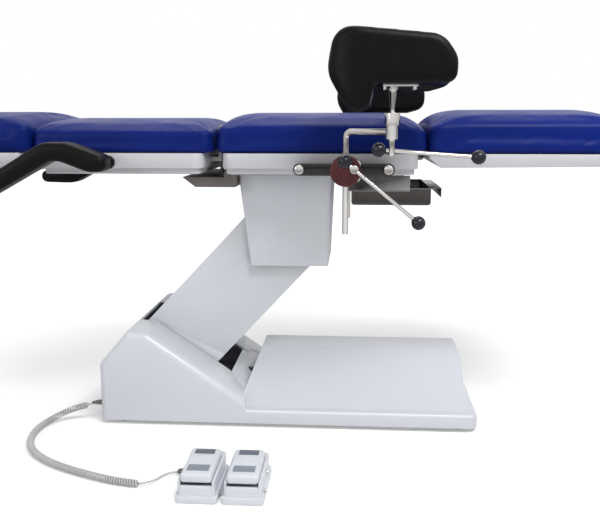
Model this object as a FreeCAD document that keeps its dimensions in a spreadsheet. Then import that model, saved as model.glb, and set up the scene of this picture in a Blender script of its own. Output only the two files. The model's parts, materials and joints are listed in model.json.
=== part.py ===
import FreeCAD, Part
import math
import os
import re

import Sketcher
from FreeCAD import Placement, Rotation, Vector

# Electric examination table with knee crutches, in millimetres.
# X runs from the head end to the leg end, Y across the table and Z up.
# The origin is on the floor under the middle of the base.
# The deck stands at the height, and the fittings at the places, that it rests in.

doc = FreeCAD.newDocument("examination_table")
sheet = doc.addObject("Spreadsheet::Sheet", "sizes")
values = {}
exported = []


def size(name, value):
    """Keeps one driving dimension in the spreadsheet and gives its value back."""
    row = len(values) + 1
    sheet.set(f"A{row}", name)
    sheet.set(f"B{row}", str(value))
    sheet.setAlias(f"B{row}", name)
    values[name] = value
    return value


def derived(name, rule):
    """Keeps a size that follows from others as a formula in the spreadsheet."""
    size(name, "=" + rule)
    doc.recompute()
    values[name] = float(sheet.get(name))
    return values[name]


# Deck: five numbers place every section along X.
deck_width = size("deck_width", 600)
seat_start = size("seat_start", -190)
seat_length = size("seat_length", 560)
back_length = size("back_length", 492)
head_length = size("head_length", 276)
leg_length = size("leg_length", 524)
deck_gap = size("deck_gap", 13)
head_gap = size("head_gap", 9)
leg_gap = size("leg_gap", 6)

# Moulded shells under the cushions.
shell_floor = size("shell_floor", 720)
band_height = size("band_height", 40)
lip_height = size("lip_height", 16)
lip_inset = size("lip_inset", 9)
shell_inset = size("shell_inset", 22)
leg_shell_depth = size("leg_shell_depth", 31)
leg_bevel = size("leg_bevel", 29)
shell_round = size("shell_round", 9)

# Hinge of the leg section.
hinge_set = size("hinge_set", 12)
hinge_x = derived("hinge_x", "seat_start + seat_length - hinge_set")
hinge_z = size("hinge_z", 765)
hinge_out = size("hinge_out", 190)
hinge_width = size("hinge_width", 66)
hinge_round = size("hinge_round", 8)
hinge_pin = size("hinge_pin", 4)

# Hinges in the gaps beside the back section.
gap_hinge_z = size("gap_hinge_z", 845)
gap_hinge_out = size("gap_hinge_out", 150)
gap_hinge_width = size("gap_hinge_width", 20)
gap_pin = size("gap_pin", 2)
back_barrel = size("back_barrel", 5)
head_barrel = size("head_barrel", 3.5)

# Cushions.
cushion_side = size("cushion_side", 64)
cushion_crown = size("cushion_crown", 32)
cushion_round = size("cushion_round", 26)
cushion_corner = size("cushion_corner", 30)
cushion_overhang = size("cushion_overhang", 3)

# Lifting arm and its pivots.
arm_foot_x = size("arm_foot_x", -358)
arm_foot_z = size("arm_foot_z", 177)
arm_length = size("arm_length", 504)
arm_angle = size("arm_angle", 46.8)
arm_depth = size("arm_depth", 238)
arm_width = size("arm_width", 230)
cover_wall = size("cover_wall", 4)
shaft_radius = size("shaft_radius", 14)
running_fit = size("running_fit", 0.05)
link_drop = size("link_drop", 50)
link_reach = size("link_reach", 60)
link_pin = size("link_pin", 8)
link_rod = size("link_rod", 9)
eye_radius = size("eye_radius", 18)
eye_width = size("eye_width", 24)
side_play = size("side_play", 1)
lever_length = size("lever_length", 110)
plate = size("plate", 8)

# Lifting actuator, which lies along the plinth.
push_rod_radius = size("push_rod_radius", 10)
tube_radius = size("tube_radius", 25)
open_pivot_play = size("open_pivot_play", 4)
motor_x = size("motor_x", 280)

# Base.
base_length = size("base_length", 1064)
base_width = size("base_width", 540)
foot_height = size("foot_height", 12)
foot_inset = size("foot_inset", 50)
foot_bracket = size("foot_bracket", 50)
tie_height = size("tie_height", 20)
skirt_height = size("skirt_height", 40)
ledge = size("ledge", 26)
skirt_corner = size("skirt_corner", 26)
plinth_height = size("plinth_height", 183)
plinth_side_draft = size("plinth_side_draft", 181)
plinth_end_draft = size("plinth_end_draft", 30)
plinth_start = size("plinth_start", -95)
plinth_rake = size("plinth_rake", 127)
base_wall = size("base_wall", 5)
hood_shoulder = size("hood_shoulder", 175)
hood_back_x = size("hood_back_x", -459)
hood_back_z = size("hood_back_z", 275)
hood_peak_x = size("hood_peak_x", -402)
hood_peak_z = size("hood_peak_z", 268)
hood_toe_x = size("hood_toe_x", -125)
hood_toe_z = size("hood_toe_z", 80)
hood_soft = size("hood_soft", 20)
opening_play = size("opening_play", 8)

# Column under the seat.
column_top_length = size("column_top_length", 269)
column_foot_length = size("column_foot_length", 226)
column_top_x = size("column_top_x", -151)
column_foot_x = size("column_foot_x", -119)
column_foot_z = size("column_foot_z", 446)
column_width = size("column_width", 288)
column_slot = size("column_slot", 650)

# Side rails and the fittings on them.
rail_set = size("rail_set", 210)
rail_start = derived("rail_start", "seat_start + rail_set")
rail_length = size("rail_length", 265)
rail_height = size("rail_height", 32)
rail_floor = size("rail_floor", 720)
rail_thick = size("rail_thick", 10)
rail_stand_off = size("rail_stand_off", 20)
clamp_set = size("clamp_set", 138)
clamp_x = derived("clamp_x", "rail_start + clamp_set")
slide_fit = size("slide_fit", 0.5)
post_radius = size("post_radius", 8)
knob_radius = size("knob_radius", 18)
bar_radius = size("bar_radius", 5)
bar_span = size("bar_span", 240)
bar_offset = size("bar_offset", 31)
bar_out = size("bar_out", 418)
bar_slope = size("bar_slope", 39.4)
post_top = size("post_top", 835)
post_foot = size("post_foot", 572)
joint_set = size("joint_set", 112)
joint_x = derived("joint_x", "clamp_x + joint_set")
joint_out = size("joint_out", 458)
joint_slope = size("joint_slope", 4)
post_out = size("post_out", 365)
disc_radius = size("disc_radius", 40)
crutch_drop = size("crutch_drop", 45)
ball_radius = size("ball_radius", 12)
socket_rise = size("socket_rise", 32)
crutch_reach = size("crutch_reach", 72)
crutch_hollow = size("crutch_hollow", 46)
crutch_soft = size("crutch_soft", 16)

# Armrests.
armrest_set = size("armrest_set", 240)
armrest_x = derived("armrest_x", "seat_start - deck_gap - back_length + armrest_set")
armrest_z = size("armrest_z", 752)
armrest_out = size("armrest_out", 80)
armrest_width = size("armrest_width", 80)
armrest_soft = size("armrest_soft", 14)
armrest_hub = size("armrest_hub", 24)
armrest_pin = size("armrest_pin", 10)

# Basin under the seat.
basin_start = size("basin_start", 172)
basin_length = size("basin_length", 226)
basin_width = size("basin_width", 356)
basin_floor = size("basin_floor", 628)
basin_depth = size("basin_depth", 48)
sheet_metal = size("sheet_metal", 1.5)

# Foot switch.
switch_start = size("switch_start", -221)
switch_front = size("switch_front", -738)
switch_width = size("switch_width", 98)
switch_pitch = size("switch_pitch", 107)
switch_depth = size("switch_depth", 186)
switch_height = size("switch_height", 36)
pedal_height = size("pedal_height", 26)
pedal_travel = size("pedal_travel", 5)

# Cord between the base and the foot switch.
cord_radius = size("cord_radius", 2.8)
coil_radius = size("coil_radius", 9)

doc.recompute()

ACROSS = Vector(0, 1, 0)
ALONG = Vector(1, 0, 0)
UP = Vector(0, 0, 1)
shell_top = shell_floor + lip_height + band_height


def formula(text):
    """Points each size named in the text at its cell."""
    def cell(word):
        return "sizes." + word.group() if word.group() in values else word.group()
    return re.sub(r"[a-z][a-z_0-9]*", cell, str(text))


def bind(thing, **rules):
    """Ties properties of an object to formulas of the sizes."""
    for name, text in rules.items():
        thing.setExpression(name, formula(text))
    return thing


def place(thing, x, y, z):
    """Ties the place of an object to formulas of the sizes."""
    for axis, text in zip("xyz", (x, y, z)):
        thing.setExpression("Placement.Base." + axis, formula(text))
    return thing


def block(x, y, z, length, width, height):
    """A box with one corner at x, y, z."""
    box = doc.addObject("Part::Box", "block")
    bind(box, Length=length, Width=width, Height=height)
    return place(box, x, y, z)


def centred_block(x, z, length, width, height, y="0"):
    """A box whose middle plane along X is at y."""
    return block(x, f"{y} - ({width}) / 2", z, length, width, height)


def bar(x, y, z, radius, length, axis):
    """A round bar from x, y, z along an axis."""
    rod = doc.addObject("Part::Cylinder", "bar")
    rod.Placement = Placement(Vector(), Rotation(UP, axis))
    bind(rod, Radius=radius, Height=length)
    return place(rod, x, y, z)


def cross_bar(x, z, radius, length, y="0"):
    """A round bar across the table, centred at y."""
    return bar(x, f"{y} - ({length}) / 2", z, radius, length, ACROSS)


def ball(x, y, z, radius, axis=UP):
    """A ball about x, y, z, with its poles on an axis."""
    sphere = doc.addObject("Part::Sphere", "ball")
    sphere.Placement = Placement(Vector(), Rotation(UP, axis))
    return place(bind(sphere, Radius=radius), x, y, z)


def join(*pieces):
    """One solid from pieces that touch or overlap."""
    whole = doc.addObject("Part::MultiFuse", "join")
    whole.Shapes = list(pieces)
    whole.Refine = True
    return whole


def cut(base, *tools):
    """The base with every tool taken away."""
    for tool in tools:
        less = doc.addObject("Part::Cut", "cut")
        less.Base = base
        less.Tool = tool
        less.Refine = True
        base = less
    return base


def common(first, second):
    """What two pieces share."""
    shared = doc.addObject("Part::MultiCommon", "common")
    shared.Shapes = [first, second]
    return shared


def group(*pieces):
    """Separate solids kept together, such as a set of bolts."""
    several = doc.addObject("Part::Compound", "group")
    several.Links = list(pieces)
    return several


def edges_where(thing, wanted):
    """The numbers of the edges that pass a test."""
    doc.recompute()
    return [n + 1 for n, edge in enumerate(thing.Shape.Edges) if wanted(edge)]


def rounded(thing, wanted, radius):
    """The piece with the wanted edges rounded."""
    soft = doc.addObject("Part::Fillet", "rounded")
    soft.Base = thing
    soft.Edges = [(n, radius, radius) for n in edges_where(thing, wanted)]
    return soft


def beside(edge, middle, reach):
    """Whether an edge lies in one of the two side faces of a piece."""
    near = min(abs(edge.BoundBox.YMin - middle), abs(edge.BoundBox.YMax - middle))
    return near > reach - 0.01


def bevelled(thing, wanted, width):
    """The piece with the wanted edges cut back flat."""
    flat = doc.addObject("Part::Chamfer", "bevelled")
    flat.Base = thing
    flat.Edges = [(n, width, width) for n in edges_where(thing, wanted)]
    return flat


def runs_along(edge, axis):
    """Whether an edge is a straight run along an axis."""
    if edge.Curve.TypeId != "Part::GeomLine":
        return False
    return edge.tangentAt(edge.FirstParameter).cross(axis).Length < 0.001


def sketch_on(body, plane_role, points):
    """A closed outline of straight lines through points given as pairs of formulas."""
    sketch = body.newObject("Sketcher::SketchObject", "outline")
    plane = next(f for f in body.Origin.OriginFeatures if f.Role == plane_role)
    sketch.AttachmentSupport = [(plane, "")]
    sketch.MapMode = "FlatFace"
    count = len(points)
    turn = 2 * math.pi / count
    ring = [Vector(100 * math.cos(turn * i), 100 * math.sin(turn * i), 0) for i in range(count)]
    for i in range(count):
        sketch.addGeometry(Part.LineSegment(ring[i], ring[(i + 1) % count]), False)
    for i in range(count):
        sketch.addConstraint(Sketcher.Constraint("Coincident", i, 2, (i + 1) % count, 1))
    for i, (across, up) in enumerate(points):
        for kind, text, start in (("DistanceX", across, ring[i].x), ("DistanceY", up, ring[i].y)):
            number = sketch.addConstraint(Sketcher.Constraint(kind, -1, 1, i, 1, start))
            sketch.setExpression(f"Constraints[{number}]", formula(text))
    return sketch


def prism(points, width, plane_role="XZ_Plane"):
    """An outline pushed out by half the width to each side of its plane."""
    body = doc.addObject("PartDesign::Body", "prism")
    outline = sketch_on(body, plane_role, points)
    pad = body.newObject("PartDesign::Pad", "pad")
    pad.Profile = outline
    pad.SideType = "Symmetric"
    bind(pad, Length=width)
    doc.recompute()
    return body


def soft_prism(corners, width, y):
    """An outline pushed out to each side of y, whose every corner has a radius of its own."""
    body = prism([corner[:2] for corner in corners], width)
    outline = next(thing for thing in body.Group if thing.isDerivedFrom("Sketcher::SketchObject"))
    places = [line.StartPoint for line in outline.Geometry]
    soft = doc.addObject("Part::Fillet", "soft")
    soft.Base = place(body, "0", y, "0")
    doc.recompute()
    ends = []
    for number, edge in enumerate(soft.Base.Shape.Edges):
        if runs_along(edge, ACROSS):
            at = edge.CenterOfMass
            near = min(range(len(places)), key=lambda i: abs(places[i].x - at.x) + abs(places[i].y - at.z))
            ends.append((number + 1, corners[near][2], corners[near][2]))
    soft.Edges = ends
    return soft


def turned(points):
    """An outline of radius and height pairs turned about the upright axis."""
    body = doc.addObject("PartDesign::Body", "turned")
    outline = sketch_on(body, "XZ_Plane", points)
    spin = body.newObject("PartDesign::Revolution", "spin")
    spin.Profile = outline
    spin.ReferenceAxis = (outline, ["V_Axis"])
    spin.Angle = 360
    doc.recompute()
    return body


def tapered(low, high, low_z, high_z):
    """A solid between two level rectangles, each given as x0, x1 and half its width."""
    wedge = doc.addObject("Part::Wedge", "tapered")
    wedge.Placement = Placement(Vector(), Rotation(ALONG, 90))
    bind(wedge, Xmin=low[0], Xmax=low[1], Zmin=f"-({low[2]})", Zmax=low[2], Ymin="0",
         X2min=high[0], X2max=high[1], Z2min=f"-({high[2]})", Z2max=high[2], Ymax=f"{high_z} - ({low_z})")
    return place(wedge, "0", "0", low_z)


def node(name, thing):
    """Names a finished sub-part, which is written under that name."""
    thing.Label = name
    exported.append(thing)
    return thing


def swept_rod(points, radius, bend):
    """A round rod along straight runs joined by tangent arcs of one radius or a list of radii."""
    path, length = rounded_path(points, bend)
    start = (points[1] - points[0]).normalize()
    circle = Part.Wire([Part.makeCircle(radius, points[0], start)])
    rod = path.makePipeShell([circle], True, False)
    expected = math.pi * radius ** 2 * length
    if abs(rod.Volume - expected) > 0.02 * expected:
        raise ValueError("a swept rod has the wrong volume")
    return rod


def rounded_path(points, bends):
    """The wire of a route whose corners are tangent arcs, and its length."""
    if not isinstance(bends, list):
        bends = [bends] * (len(points) - 2)
    edges = []
    at = points[0]
    for before, corner, after, radius in zip(points, points[1:], points[2:], bends):
        back = (before - corner).normalize()
        ahead = (after - corner).normalize()
        half_turn = (math.pi - back.getAngle(ahead)) / 2
        reach = radius * math.tan(half_turn)
        first = corner + back * reach
        last = corner + ahead * reach
        inward = (back + ahead).normalize()
        middle = corner + inward * (radius / math.cos(half_turn) - radius)
        edges.append(Part.LineSegment(at, first).toShape())
        edges.append(Part.Arc(first, middle, last).toShape())
        at = last
    edges.append(Part.LineSegment(at, points[-1]).toShape())
    return Part.Wire(edges), sum(edge.Length for edge in edges)


def shaped(name, shape):
    """A sub-part whose shape is worked out here, such as a bent rod."""
    thing = doc.addObject("Part::Feature", name)
    thing.Shape = shape
    return thing


# Deck sections: each has a moulded shell and a crowned cushion.

def shell(x, length, depth_below):
    """A shell: a band with rounded edges over a lip that is set back."""
    band = centred_block(x, "shell_floor + lip_height", length, "deck_width", "band_height")
    band = rounded(band, lambda e: runs_along(e, UP), cushion_corner)
    lip = centred_block(f"{x} + lip_inset", f"shell_floor + lip_height - {depth_below}",
                        f"{length} - 2 * lip_inset", "deck_width - 2 * lip_inset",
                        f"{depth_below} + 1")
    lip = rounded(lip, lambda e: runs_along(e, UP), cushion_corner - lip_inset)
    whole = join(band, lip)
    edge_height = shell_floor + lip_height - values.get(depth_below, 0)
    return rounded(whole, lambda e: abs(e.BoundBox.ZMax - edge_height) < 0.01
                   and abs(e.BoundBox.ZMin - edge_height) < 0.01, shell_round / 2)


def cushion(x, length):
    """A cushion: flat below, crowned across the table and rounded at its top edges."""
    width = "(deck_width - 2 * cushion_overhang)"
    height = "cushion_side + cushion_crown"
    slab = centred_block(x, "shell_floor + lip_height + band_height", length, width, height)
    slab = rounded(slab, lambda e: runs_along(e, UP), cushion_corner)
    radius = f"(({width} / 2) ^ 2 + cushion_crown ^ 2) / (2 * cushion_crown)"
    barrel = bar(f"{x} - 10", "0", f"shell_floor + lip_height + band_height + {height} - {radius}",
                 radius, f"{length} + 20", ALONG)
    crowned = common(slab, barrel)
    top = shell_top + cushion_side - 0.5
    return rounded(crowned, lambda e: e.BoundBox.ZMin > top, cushion_round)


def seat_section():
    shell_x = "seat_start + shell_inset - 6"
    shell_length = "seat_length - 2 * shell_inset + 6"
    node("seat_shell", shell(shell_x, shell_length, "lip_height"))
    node("seat_cushion", cushion("seat_start", "seat_length"))


def back_section():
    x = "(seat_start - deck_gap - back_length)"
    node("back_shell", shell(f"{x} + shell_inset", "back_length - 2 * shell_inset", "lip_height"))
    node("back_cushion", cushion(x, "back_length"))


def head_section():
    x = "(seat_start - deck_gap - back_length - head_gap - head_length)"
    node("head_shell", shell(f"{x} + shell_inset", "head_length - 2 * shell_inset", "lip_height"))
    node("head_cushion", cushion(x, "head_length"))


def leg_section():
    """The leg shell is shallower, and bevelled under its hinge so that it can drop."""
    x = "(seat_start + seat_length + leg_gap)"
    top = "(shell_floor + lip_height + band_height)"
    outline = [(x, f"{top} - 12"), (x, top), (f"{x} + leg_length", top),
               (f"{x} + leg_length", f"{top} - leg_shell_depth + 9"),
               (f"{x} + leg_length - 9", f"{top} - leg_shell_depth"),
               (f"{x} + leg_bevel", f"{top} - leg_shell_depth - 5")]
    body = prism(outline, "deck_width")
    node("leg_shell", rounded(body, lambda e: runs_along(e, UP) and e.Length > 20, shell_round))
    node("leg_cushion", cushion(x, "leg_length"))


def leg_hinge():
    """Hinge between seat and leg sections: leaves on the seat shell with a pin, knuckles on the leg shell."""
    wall = "(seat_start + seat_length - shell_inset)"
    leg_x = "(seat_start + seat_length + leg_gap)"
    leaves = []
    knuckles = []
    for side in ("-1", "1"):
        middle = f"{side} * hinge_out"
        parts = [centred_block(wall, "hinge_z - 16", "1.5", "hinge_width", "26", middle)]
        for end in ("-1", "1"):
            y = f"{middle} + {end} * hinge_width / 3"
            parts.append(cross_bar("hinge_x", "hinge_z", "hinge_round", "hinge_width / 3 - 1", y))
            parts.append(centred_block(wall, "hinge_z - hinge_round", f"hinge_x - {wall}",
                                       "hinge_width / 3 - 1", "hinge_round", y))
        parts.append(cross_bar("hinge_x", "hinge_z", "hinge_pin", "hinge_width - 1", middle))
        leaves.append(join(*parts))
        tongue = centred_block("hinge_x", "hinge_z", f"{leg_x} - hinge_x", "hinge_width / 3 - 1",
                               "hinge_round", middle)
        knuckle = join(tongue, cross_bar("hinge_x", "hinge_z", "hinge_round", "hinge_width / 3 - 1", middle))
        bore = cross_bar("hinge_x", "hinge_z", "hinge_pin + running_fit", "hinge_width", middle)
        knuckles.append(cut(knuckle, bore))
    node("hinge_leaves", group(*leaves))
    node("hinge_knuckles", group(*knuckles))


def gap_leaf(gap_x, end_x, foot_z, barrel, places, pinned):
    """Half of a hinge that stands in the gap between two cushions, with its pivot near their tops."""
    parts = []
    for out in places:
        for side in ("-1", "1"):
            y = f"{side} * {out}"
            parts.append(centred_block(f"{gap_x} - {barrel} + 1", foot_z, f"2 * {barrel} - 2",
                                       "gap_hinge_width", f"gap_hinge_z - ({foot_z})", y))
            knuckle = cross_bar(gap_x, "gap_hinge_z", barrel, "gap_hinge_width", y)
            if pinned:
                parts.append(knuckle)
                parts.append(cross_bar(gap_x, "gap_hinge_z", "gap_pin", "3 * gap_hinge_width + 4", y))
            else:
                bore = cross_bar(gap_x, "gap_hinge_z", "gap_pin + running_fit", "gap_hinge_width + 4", y)
                parts[-1] = cut(join(parts[-1], knuckle), bore)
            if end_x:
                low = f"min({gap_x}, {end_x})"
                parts.append(centred_block(low, foot_z, f"abs({end_x} - {gap_x})", "gap_hinge_width", "12", y))
    return parts


def gap_hinges():
    """The hinges of the back and head sections, and the pivots that carry the armrests."""
    back_gap = "(seat_start - deck_gap / 2)"
    head_gap_x = "(seat_start - deck_gap - back_length - head_gap / 2)"
    back_end = "(seat_start - deck_gap - shell_inset)"
    back_start = "(seat_start - deck_gap - back_length + shell_inset)"
    head_end = "(seat_start - deck_gap - back_length - head_gap - shell_inset)"
    foot = "shell_floor + 30"
    moving = gap_leaf(back_gap, back_end, foot, "back_barrel", ("(gap_hinge_out - gap_hinge_width - 1)",
                      "(gap_hinge_out + gap_hinge_width + 1)"), False)
    fixed = gap_leaf(head_gap_x, back_start, foot, "head_barrel", ("gap_hinge_out",), True)
    node("back_ironwork", group(join(*moving), join(*fixed), *armrest_pivots()))
    leaf = gap_leaf(head_gap_x, head_end, foot, "head_barrel", ("(gap_hinge_out - gap_hinge_width - 1)",
                    "(gap_hinge_out + gap_hinge_width + 1)"), False)
    node("head_hinge", join(*leaf))


# Base.

def base_form(wall):
    """The outer form of the base moulding, or its hollow when the wall is not zero."""
    outer = wall == "0"
    thick = values.get(wall, 0)
    rear = f"(-base_length / 2 + {wall})"
    floor = "foot_height" if outer else "foot_height - 1"
    half = f"(base_width / 2 - {wall})"
    hood = prism([(rear, floor), (rear, f"hood_shoulder - {wall}"),
                  (f"hood_back_x + {wall}", f"hood_back_z - {wall}"),
                  (f"hood_peak_x - {wall}", f"hood_peak_z - {wall}"),
                  (f"hood_toe_x - {wall}", f"hood_toe_z - {wall}"),
                  (f"hood_toe_x + 8 - {wall}", floor)], f"2 * {half}")
    hood = rounded(hood, lambda e: beside(e, 0, base_width / 2 - thick) and e.BoundBox.ZMax > hood_toe_z
                   and e.BoundBox.XMin < hood_toe_x - thick - 1, hood_soft - thick)
    x1 = f"(base_length / 2 - {wall})"
    start = "hood_toe_x - 40"
    skirt = block(start, f"-{half}", floor, f"{x1} - ({start})", f"2 * {half}",
                  f"foot_height + skirt_height - {wall} - ({floor})")
    skirt = rounded(skirt, lambda e: runs_along(e, UP) and e.BoundBox.XMin > 0, skirt_corner - thick)
    upper = tapered((f"plinth_start - plinth_rake + {wall}", f"{x1} - ledge", f"{half} - ledge"),
                    (f"plinth_start + {wall}", f"{x1} - ledge - plinth_end_draft",
                     f"{half} - ledge - plinth_side_draft"),
                    f"foot_height + skirt_height - {wall} - 1", f"plinth_height - {wall}")
    if outer:
        upper = rounded(upper, lambda e: abs(e.BoundBox.ZMin - plinth_height) < 0.01
                        and e.BoundBox.XMax > plinth_start + 1, 14)
        skirt = rounded(skirt, lambda e: e.BoundBox.ZMin > foot_height + skirt_height - 0.01
                        and e.BoundBox.XMax > hood_toe_x + 10, 10)
    return join(hood, skirt, upper)


def base():
    """The cover of the base, open where the arm swings through its hood."""
    form = base_form("0")
    hollow = base_form("base_wall")
    above = "hood_back_z + 70"
    opening = prism([("arm_foot_x - 98", "arm_foot_z + 20"), ("arm_foot_x - 98", above),
                     ("plinth_start", above), ("plinth_start", "plinth_height"),
                     ("plinth_start - 87", "plinth_height - 90")], "arm_width + 2 * opening_play")
    node("base_cover", cut(form, hollow, opening))


def base_frame():
    """Steel frame: floor rails, cheeks for the arm pivot and lugs for the levelling link."""
    rails = [centred_block("-base_length / 2 + 20", "foot_height + 4", "base_length - 60", "60", "40",
                           y) for y in ("-150", "150")]
    ties = [centred_block(f"{x} - foot_bracket / 2", "foot_height + 4", "foot_bracket", width, "tie_height")
            for x, width in (("-base_length / 2 + foot_inset", "base_width - 2 * base_wall - 0.6"),
                             ("base_length / 2 - foot_inset", "base_width - 2 * base_wall - 0.6"),
                             ("arm_foot_x", "300"), ("motor_x", "300"))]
    cheek = [("arm_foot_x - 70", "foot_height + 4"), ("arm_foot_x - 30", "arm_foot_z + 22"),
             ("arm_foot_x - 14", "arm_foot_z + 36"), ("arm_foot_x + 14", "arm_foot_z + 36"),
             ("arm_foot_x + 30", "arm_foot_z + 22"), ("arm_foot_x + 70", "foot_height + 4")]
    cheeks = []
    for side in ("-1", "1"):
        wall = prism(cheek, "plate")
        cheeks.append(place(wall, "0", f"{side} * (arm_width / 2 + 5 + plate / 2)", "0"))
    bore = cross_bar("arm_foot_x", "arm_foot_z", "shaft_radius + running_fit", "arm_width + 60")
    lug_x = "(arm_foot_x + link_reach)"
    lug_z = "(arm_foot_z - link_drop)"
    lugs = []
    for side in ("-1", "1"):
        y = f"{side} * (eye_width / 2 + side_play + plate / 2)"
        lugs.append(centred_block(f"{lug_x} - eye_radius", "foot_height + 4", "2 * eye_radius",
                                  "plate", f"{lug_z} - foot_height - 4", y))
        lugs.append(cross_bar(lug_x, lug_z, "eye_radius", "plate", y))
    pin = cross_bar(lug_x, lug_z, "link_pin", "eye_width + 2 * side_play + 2 * plate + 6")
    foot = centred_block(f"{lug_x} - 30", "foot_height + 4", "60", "300", "30")
    node("base_frame", cut(join(*rails, *ties, *cheeks, *lugs, pin, foot), bore))


def feet():
    """Four feet that stand under the brackets of the frame."""
    places = [(x, y) for x in ("-base_length / 2 + foot_inset", "base_length / 2 - foot_inset")
              for y in ("-base_width / 2 + foot_inset", "base_width / 2 - foot_inset")]
    pads = [bar(x, y, "0", "24", "foot_height - 2", UP) for x, y in places]
    stems = [bar(x, y, "foot_height - 3", "6", "7", UP) for x, y in places]
    node("levelling_feet", group(*[join(pad, stem) for pad, stem in zip(pads, stems)]))


# Lifting arm.

def in_arm_frame(body):
    """Turns a piece that is drawn along X from the foot pivot to the slope of the arm."""
    body.Placement = Placement(Vector(), Rotation(ACROSS, -arm_angle))
    return place(body, "arm_foot_x", "0", "arm_foot_z")


def lift_arm():
    half = "arm_depth / 2"
    outline = [("24", half), ("arm_length - 57", half), ("arm_length + 64", "42"),
               ("arm_length + 76", "-60"), ("arm_length + 16", f"-{half}"), ("99", f"-{half}")]
    skin = prism(outline, "arm_width")
    hollow = centred_block("-150", "cover_wall - arm_depth / 2", "arm_length + 300",
                           "arm_width - 2 * cover_wall", "arm_depth - 2 * cover_wall")
    shaft_hole = cross_bar("arm_length", "0", "shaft_radius", "arm_width + 40")
    cover = cut(skin, hollow, shaft_hole)
    node("arm_cover", in_arm_frame(cover))
    beam = centred_block("0", "-28", "arm_length", "90", "56")
    hubs = [cross_bar(x, "0", "30", "arm_width - 2 * cover_wall - 4") for x in ("0", "arm_length")]
    lever_s = "(-lever_length * sin(arm_angle))"
    lever_t = "(-lever_length * cos(arm_angle))"
    plates = []
    for side in ("-1", "1"):
        y = f"{side} * (24 + plate / 2)"
        arm = prism([("-20", "10"), ("20", "-10"), (f"{lever_s} + 14", f"{lever_t} - 10"),
                     (f"{lever_s} - 14", f"{lever_t} + 10")], "plate")
        plates.append(place(arm, "0", y, "0"))
        plates.append(cross_bar(lever_s, lever_t, "16", "plate", y))
    pin = cross_bar(lever_s, lever_t, "link_pin", "48 + 2 * plate")
    bores = [cross_bar(x, "0", "shaft_radius", "arm_width + 40") for x in ("0", "arm_length")]
    steel = cut(join(beam, *hubs, *plates, pin), *bores)
    node("lift_arm", in_arm_frame(steel))
    shafts = [cross_bar(x, "0", "shaft_radius", "arm_width + 10 + 2 * plate") for x in ("0", "arm_length")]
    node("arm_shafts", in_arm_frame(group(*shafts)))


def levelling_link():
    """The lower bar of the parallelogram, which keeps the column upright."""
    rod = bar("0", "0", "0", "link_rod", "arm_length", ALONG)
    eyes = [cross_bar(x, "0", "eye_radius", "eye_width") for x in ("0", "arm_length")]
    bores = [cross_bar(x, "0", "link_pin + running_fit", "eye_width + 10") for x in ("0", "arm_length")]
    link = cut(join(rod, *eyes), *bores)
    link.Placement = Placement(Vector(), Rotation(ACROSS, -arm_angle))
    node("levelling_link", place(link, "arm_foot_x + link_reach", "0", "arm_foot_z - link_drop"))


def actuator():
    """Electric push rod along the plinth, which swings the lever under the foot pivot."""
    axis_z = "(arm_foot_z - lever_length + 2)"
    rod = bar("arm_foot_x + 18", "0", axis_z, "push_rod_radius", "340", ALONG)
    eye = cross_bar("arm_foot_x", axis_z, "link_pin + open_pivot_play + 10", "20")
    hole = cross_bar("arm_foot_x", axis_z, "link_pin + open_pivot_play", "30")
    node("lift_rod", cut(join(rod, eye), hole))
    tube = bar("-150", "0", axis_z, "tube_radius", "400", ALONG)
    bore = bar("-151", "0", axis_z, "push_rod_radius + running_fit", "290", ALONG)
    gearbox = centred_block("motor_x - 40", f"{axis_z} - 30", "80", "90", "66", "20")
    motor = bar("motor_x + 38", "38", f"{axis_z} - 8", "28", "120", ALONG)
    seat = centred_block("motor_x - 20", "foot_height + 4 + tie_height", "40", "60",
                         f"{axis_z} - foot_height - tie_height - 20")
    node("lift_motor", cut(join(tube, gearbox, motor, seat), bore))


# Column.

def column():
    half = "(column_width / 2)"
    outer = tapered(("column_foot_x", "column_foot_x + column_foot_length", half),
                    ("column_top_x", "column_top_x + column_top_length", f"{half} + 6"),
                    "column_foot_z", "shell_floor - plate")
    outer = rounded(outer, lambda e: e.BoundBox.ZLength > 100, 10)
    wall = "cover_wall"
    inner = tapered((f"column_foot_x + {wall}", f"column_foot_x + column_foot_length - {wall}",
                     f"{half} - {wall}"),
                    (f"column_top_x + {wall}", f"column_top_x + column_top_length - {wall}",
                     f"{half} + 6 - {wall}"),
                    "column_foot_z - 1", "shell_floor - plate + 1")
    back_slot = centred_block("column_top_x - 20", "column_foot_z - 5", "60",
                              "column_width - 2 * cover_wall - 6", "column_slot - column_foot_z + 5")
    node("column_cover", cut(outer, inner, back_slot))


def column_frame():
    """Steel head of the column: cheeks on the upper shaft, link lugs and the top plate."""
    x = "(arm_foot_x + arm_length * cos(arm_angle))"
    z = "(arm_foot_z + arm_length * sin(arm_angle))"
    plate_top = "shell_floor - plate"
    cheeks = []
    for side in ("-1", "1"):
        y = f"{side} * (arm_width / 2 + 5 + plate / 2)"
        cheeks.append(centred_block(f"{x} - 35", z, "70", "plate", f"{plate_top} - {z}", y))
        cheeks.append(cross_bar(x, z, "35", "plate", y))
    top = centred_block(f"{x} - 110", f"{plate_top} - 10", "220", "arm_width + 26", "10")
    bore = cross_bar(x, z, "shaft_radius + running_fit", "arm_width + 60")
    lug_x = f"({x} + link_reach)"
    lug_z = f"({z} - link_drop)"
    lugs = []
    for side in ("-1", "1"):
        y = f"{side} * (eye_width / 2 + side_play + plate / 2)"
        lugs.append(centred_block(f"{lug_x} - 14", lug_z, "32", "plate", f"{plate_top} - {lug_z}", y))
        lugs.append(cross_bar(lug_x, lug_z, "eye_radius", "plate", y))
    pin = cross_bar(lug_x, lug_z, "link_pin", "eye_width + 2 * side_play + 2 * plate")
    node("column_frame", cut(join(*cheeks, top, *lugs, pin), bore))


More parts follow.
